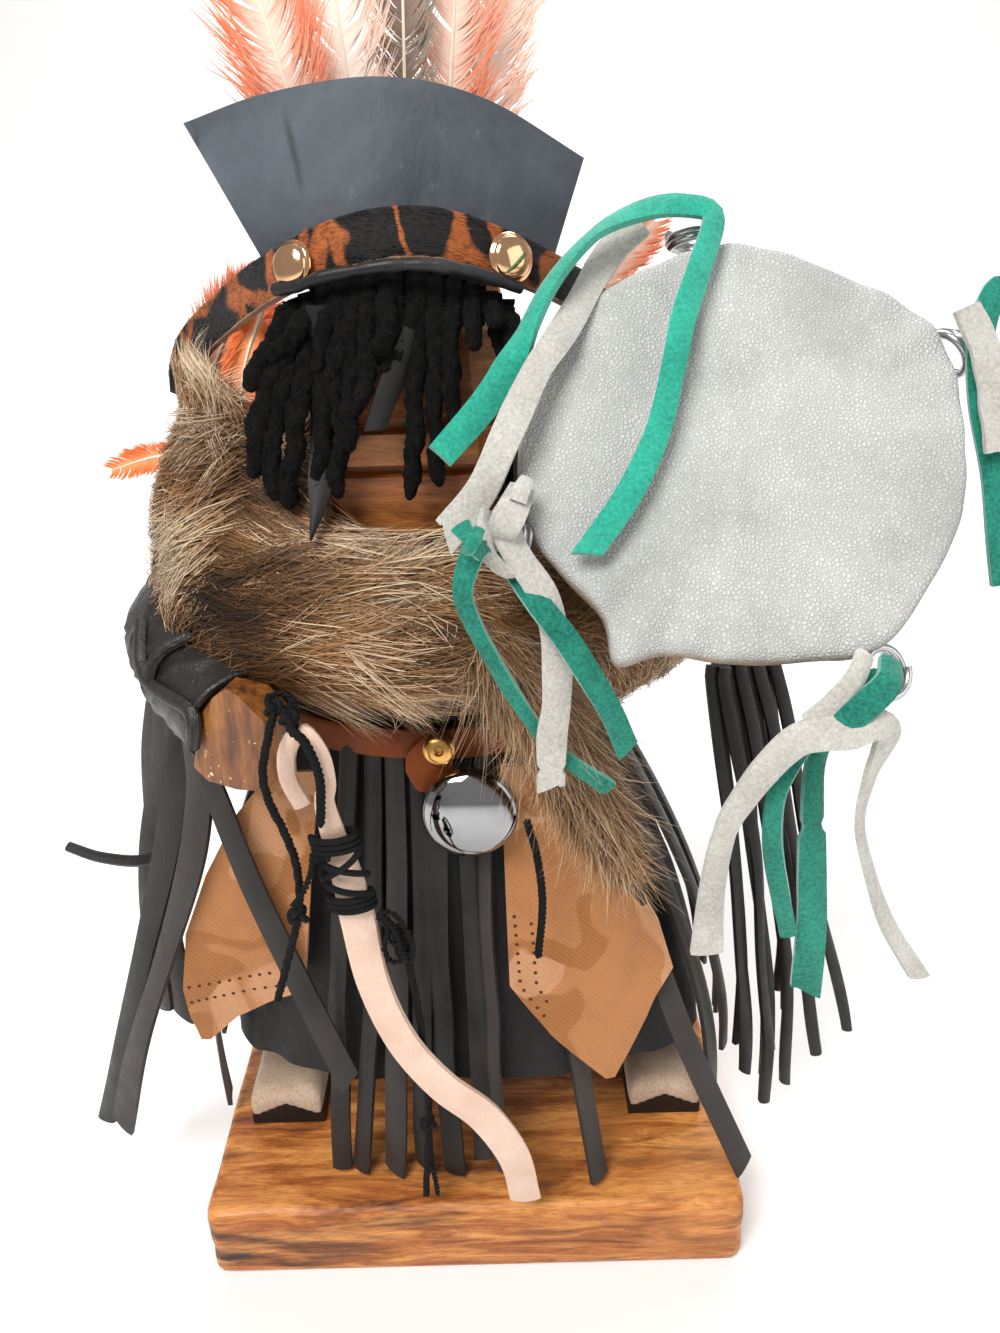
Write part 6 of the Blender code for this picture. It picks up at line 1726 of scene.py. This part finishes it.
def make_feathers():
    looks = (PEACH, CREAM, GREY, PEACH, CREAM)
    for index, (x_low, x_high, y, top, wide) in enumerate(FEATHER_FANS):
        controls = ((x_low, y, QUILLS_LOW),
                    ((x_low + x_high) / 2.0 + 0.6, y + 0.6, (QUILLS_LOW + top) / 2.0),
                    (x_high, y + 5.0, top))
        feather("plume_" + str(index + 1), controls, wide * 1.5, 900, looks[index], 60 + index,
                ["feather_" + str(index + 1)])
    feather("plume_left", ((-47.0, 5.5, 186.0), (-41.0, 4.0, 197.0), (-33.0, 1.0, 206.0)), 15.0, 1100,
            PEACH, 71, ["feather_left"])
    feather("plume_left_low", ((-31.0, -8.0, 203.0), (-35.0, -9.0, 194.0), (-38.0, -9.0, 182.0)), 9.0, 900,
            ORANGE, 73, ())
    feather("plume_left_tip", ((-49.0, -6.0, 178.0), (-57.7, 0.0, 175.7), (-66.6, 3.0, 172.8)), 7.0, 420,
            ORANGE, 74, ())
    feather("plume_right", ((27.0, 5.0, 200.0), (32.0, 4.0, 208.0), (38.0, 1.5, 215.0)), 10.0, 380, PEACH,
            72, ["feather_right"])


make_feathers()


# Fur
FUR_SECTIONS = np.array((
    (0.0, 36.0, 31.0, -3.0, -5.0), (0.1, 46.0, 35.5, -2.5, -3.0), (0.28, 52.0, 38.0, -2.0, -1.5),
    (0.48, 52.5, 36.5, -1.5, 0.0), (0.68, 50.5, 32.0, -2.0, 1.5), (0.86, 47.5, 27.0, -2.5, 3.5),
    (1.0, 44.0, 20.5, -3.5, 5.0),
))
FUR_LOW, FUR_HIGH = 118.0, 165.0
FUR = strands("fur", rgb(22, 15, 11), rgb(158, 112, 70), rgb(240, 216, 182), 0.55)
PELT = Look("pelt", 0.9)
PELT_GRAIN = PELT.stretched(0.3, 0.3, 1.0)
PELT.set(Base_Color=PELT.ramp(PELT.noise(300.0, 4.0, 0.6, PELT_GRAIN), (0.3, rgb(34, 25, 19)),
                              (0.7, rgb(78, 59, 44))))
PELT.bump(PELT.noise(500.0, 4.0, 0.6, PELT_GRAIN), 0.8, 0.8)
PELT = PELT.material


def fur_point(angle, share):
    """Points on the pelt at angles from the doll's left side and shares of its height."""
    half_w, half_d, x, y = [np.interp(share, FUR_SECTIONS[:, 0], FUR_SECTIONS[:, k]) for k in range(1, 5)]
    c, s = np.cos(angle), np.sin(angle)
    power = 2.0 / 2.3
    return np.stack((np.sign(c) * np.abs(c) ** power * half_w + x,
                     np.sign(s) * np.abs(s) ** power * half_d + y,
                     BOARD_TOP + FUR_LOW + (FUR_HIGH - FUR_LOW) * share), -1)


def fur_frame(angle, share):
    """A point on the pelt, how far it moves with the angle and the share, and the way out."""
    spot = fur_point(angle, share)
    around = (fur_point(angle + 0.02, share) - spot) / 0.02
    inside = np.clip(share, 0.03, 0.97)
    above = (fur_point(angle, inside + 0.03) - fur_point(angle, inside - 0.03)) / 0.06
    return spot, around, above, unit(np.cross(around, above))


def painted_shade_patch(spot):
    """Painted shade: how much darker the hair is coloured over the sleeve and under the chin's right side,
    where shade falls.
    """
    x, z = spot[:, 0], spot[:, 2]
    sleeve = np.exp(-((x + 48.0) / 13.0) ** 2 - ((z - 153.0) / 6.5) ** 2)
    chin = np.exp(-((x - 2.0) / 13.0) ** 2 - ((z - 158.0) / 8.0) ** 2)
    low = np.exp(-((x - 6.0) / 8.0) ** 2 - ((z - 143.0) / 5.0) ** 2)
    return np.clip(1.1 * sleeve + 0.7 * chin + 0.5 * low, 0.0, 1.0)


CHIN_LOW = 170.8


def in_face(spot):
    """Where the head stands in the pelt's opening."""
    return (spot[:, 2] > 163.0) & (spot[:, 0] > -31.0) & (spot[:, 0] < 19.0) & (spot[:, 1] < -6.0)


def over_chin(spot):
    """Where hair would hide the chin from the front."""
    return (spot[:, 2] > CHIN_LOW) & (spot[:, 0] > -18.5) & (spot[:, 0] < 5.0) & (spot[:, 1] < -6.0)


def fur_strands(name, count, seed, angles, shares, flow, length, rise=3.0, width=0.155, lift=1.0):
    """Hair combed over the pelt: every strand follows its flow over the surface, in clumps."""
    random = np.random.default_rng(seed)
    clumps = max(8, count // 22)
    clump_angle, clump_share = random.uniform(*angles, clumps), random.uniform(*shares, clumps)
    which = random.integers(0, clumps, count)
    angle = clump_angle[which] + random.normal(0, 0.045, count)
    share = clump_share[which] + random.normal(0, 0.045, count)
    root = fur_point(angle, share)
    keep = ~in_face(root) & (share > shares[0] - 0.05) & (share < shares[1] + 0.06)
    which, angle, share, root = which[keep], angle[keep], share[keep], root[keep]
    count = len(which)
    reach = length * random.uniform(0.65, 1.15, clumps)[which] * random.uniform(0.85, 1.1, count)
    stray = random.normal(0, 0.2, (clumps, 2))[which] + random.normal(0, 0.06, (count, 2))
    bend = random.normal(0, 0.5, (clumps, 2))[which] + random.normal(0, 0.12, (count, 2))
    puff = rise * random.uniform(0.35, 1.25, clumps)[which] * random.uniform(0.7, 1.2, count)
    # dark is painted shade: the hair's colour darkened where the sleeve and the chin shade it.
    dark = painted_shade_patch(root)
    steps = 5
    strand, first_out = [], None
    gather_a, gather_s = clump_angle[which] - angle, clump_share[which] - share
    for step in range(steps):
        part = step / (steps - 1)
        spot, around, above, out = fur_frame(angle, share)
        first_out = out if first_out is None else first_out
        raised = 0.15 + puff * math.sin(math.pi * min(1.0, 0.15 + part * 0.62))
        strand.append(spot + out * raised[:, None])
        way = unit(flow(angle, share, spot) + stray + bend * part)
        pace = reach / (steps - 1)
        angle = angle + way[:, 0] * pace / np.linalg.norm(around, axis=1) + gather_a * 0.19
        share = share + way[:, 1] * pace / np.linalg.norm(above, axis=1) + gather_s * 0.19
    strand = np.stack(strand, 1)
    clear = ~(over_chin(strand[:, 2]) | over_chin(strand[:, 3]) | over_chin(strand[:, 4]))
    widths = np.array((0.9, 1.0, 0.9, 0.65, 0.08))[None] * (width * random.uniform(0.7, 1.3, (count, 1)))
    broad = np.array([wobble(x * 0.055, y * 0.055, z * 0.11 + seed) for x, y, z in root])
    # light sets how far each strand's tone goes: lift raises it for a whole group as painted light, (1.0 -
    # 0.8 * dark) lowers it as painted shade, and the clump and broad noise are the hair's own varied tone.
    light = (lift * random.uniform(0.3, 1.3, clumps)[which] * random.uniform(0.75, 1.25, count)
             * (1.0 - 0.8 * dark) * np.clip(1.0 + 1.4 * broad, 0.28, 1.8))
    tones = np.clip(np.array((0.05, 0.28, 0.52, 0.78, 1.0))[None] * light[:, None], 0.0, 1.0)
    return hairs(name, first_out[clear], strand[clear], widths[clear], tones[clear], FUR, ())


def make_fur():
    """Long guard hair over the pelt: swept across the chest, falling at the sides and back."""
    finish_node("fur_stole", PELT)

    def chest(angle, share, spot):
        right = np.clip((spot[:, 0] + 5.0) / 35.0, 0.0, 1.0)
        high = np.clip((spot[:, 2] - 158.0) / 12.0, 0.0, 1.0)
        return np.stack((1.0 - 0.35 * right, 0.1 - 0.75 * right - 0.35 * high), 1)

    def shoulder(angle, share, spot):
        low = np.clip((160.0 - spot[:, 2]) / 14.0, 0.0, 1.0)
        return np.stack((-0.85 + 0.2 * low, -0.6 - 0.3 * low), 1)

    def brow(angle, share, spot):
        return np.stack((-0.5 * np.ones_like(angle), 0.75 * np.ones_like(angle)), 1)

    def fall(angle, share, spot):
        return np.stack((0.12 * np.sin(angle * 3.0), -np.ones_like(angle)), 1)

    fur_strands("fur_chest_low", 19000, 81, (-2.75, -0.45), (0.2, 0.55), chest, 31.0, 3.2)
    fur_strands("fur_chest_high", 19000, 85, (-2.6, -0.45), (0.4, 0.95), chest, 27.0, 2.6)
    # fur_left and fur_brow pass lift 1.65 and 1.5: their hair colour is painted lighter, as painted light.
    fur_strands("fur_left", 14500, 82, (-math.pi - 0.35, -2.2), (0.22, 0.98), shoulder, 25.0, 3.8, 0.165,
                1.65)
    fur_strands("fur_brow", 5500, 86, (-math.pi - 0.2, -2.3), (0.8, 1.02), brow, 17.0, 3.0, 0.155, 1.5)
    fur_strands("fur_right", 6000, 83, (-0.6, 0.5), (0.1, 0.98), fall, 18.0, 2.6, 0.21)
    fur_strands("fur_back", 7500, 84, (0.4, math.pi - 0.3), (0.1, 1.0), fall, 20.0, 2.8, 0.34)


make_fur()


TAIL_PATH = (
    (5.0, -39.5, 157.0), (12.0, -43.0, 147.0), (18.0, -43.6, 135.0), (25.0, -42.0, 119.0),
    (35.0, -38.0, 96.0),
)
TAIL_FLATNESS = 0.36


def make_tail():
    random = np.random.default_rng(91)
    path = run(TAIL_PATH, 60)
    share = np.linspace(0.0, 1.0, 60)
    shape = Shape()
    wide = 2.0 + 4.6 * np.sin(math.pi * np.clip(share * 0.8 + 0.1, 0, 1)) - 3.0 * share
    shape.tube(path, np.maximum(wide, 0.6), 14, 0.0, 0, TAIL_FLATNESS, FRONT)
    shape.made("tail_pelt", [PELT], ["fur_tail"], "fur")
    count, clumps = 8000, 420
    row = np.minimum((random.uniform(0.0, 1.0, count) ** 1.75 * 50.0).astype(int), 49)
    side, face = frames(path, FRONT)
    angle = random.uniform(0, math.tau, count)
    out = side[row] * np.cos(angle)[:, None] + face[row] * np.sin(angle)[:, None]
    root = path[row] + side[row] * (np.cos(angle) * wide[row])[:, None]
    root += face[row] * (np.sin(angle) * wide[row] * TAIL_FLATNESS)[:, None]
    clump = random.integers(0, clumps, count)
    way = unit(ways(path)[row] * 1.0 + out * 0.2 + random.normal(0, 0.17, (clumps, 3))[clump]
               + random.normal(0, 0.08, (count, 3)))
    reach = random.uniform(8.0, 17.0, clumps)[clump] * random.uniform(0.7, 1.15, count)
    reach = reach * (1.0 - 0.5 * row / 50.0)
    steps = np.linspace(0.0, 1.0, 5)
    curl = random.normal(0, 0.3, (clumps, 3))[clump] + random.normal(0, 0.08, (count, 3))
    strand = np.stack([root + (way * step + (curl + (0.0, 0.0, -0.15)) * step * step) * reach[:, None]
                       for step in steps], 1)
    widths = np.array((1.0, 0.95, 0.8, 0.5, 0.1))[None] * (0.16 * random.uniform(0.7, 1.3, (count, 1)))
    light = random.uniform(0.35, 1.25, (clumps, 1))[clump]
    tones = np.clip(np.linspace(0.05, 1.0, 5)[None] * light, 0.0, 1.0)
    hairs("tail_hair", out, strand, widths, tones, FUR, ())


make_tail()


# Stage: the lamps' places and sizes in metres, their powers in watts
LAMPS = (
    ("key", (-0.35, -0.6, 1.0), 0.5, 13.0), ("fill", (0.9, -0.5, 0.5), 0.8, 3.0),
    ("rim", (0.1, 0.8, 1.1), 0.9, 14.0),
)
WORLD_STRENGTH = 0.38


def make_stage():
    """A pale floor that curves up behind, and soft lamps."""
    floor = Look("pale floor", 0.9, Base_Color=rgb(238, 237, 235))
    mesh = bpy.data.meshes.new("floor")
    reach, back, rise = 3.0, 1.2, 2.4
    rows = [(-reach, 0.0), (back * 0.55, 0.0)]
    rows += [(back * 0.55 + 0.5 * math.sin(a), 0.5 - 0.5 * math.cos(a))
             for a in np.linspace(0.1, math.pi / 2.0, 12)]
    rows.append((back * 0.55 + 0.5, rise))
    points = [(x, y, z) for y, z in rows for x in (-reach, reach)]
    faces = [(2 * k, 2 * k + 1, 2 * k + 3, 2 * k + 2) for k in range(len(rows) - 1)]
    mesh.from_pydata(points, [], faces)
    mesh.shade_smooth()
    mesh.materials.append(floor.material)
    item = bpy.data.objects.new("floor", mesh)
    bpy.context.scene.collection.objects.link(item)
    bpy.context.scene.view_settings.view_transform = "Standard"
    world = bpy.data.worlds.new("studio")
    bpy.context.scene.world = world
    world.use_nodes = True
    world.node_tree.nodes["Background"].inputs[0].default_value = (1.0, 1.0, 1.0, 1.0)
    world.node_tree.nodes["Background"].inputs[1].default_value = WORLD_STRENGTH
    for name, place, size, power in LAMPS:
        data = bpy.data.lights.new(name, "AREA")
        data.size = size
        data.energy = power
        lamp = bpy.data.objects.new(name, data)
        bpy.context.scene.collection.objects.link(lamp)
        lamp.location = place
        lamp.rotation_euler = (Vector((0.0, 0.0, 0.15)) - Vector(place)).to_track_quat("-Z", "Y").to_euler()


make_stage()
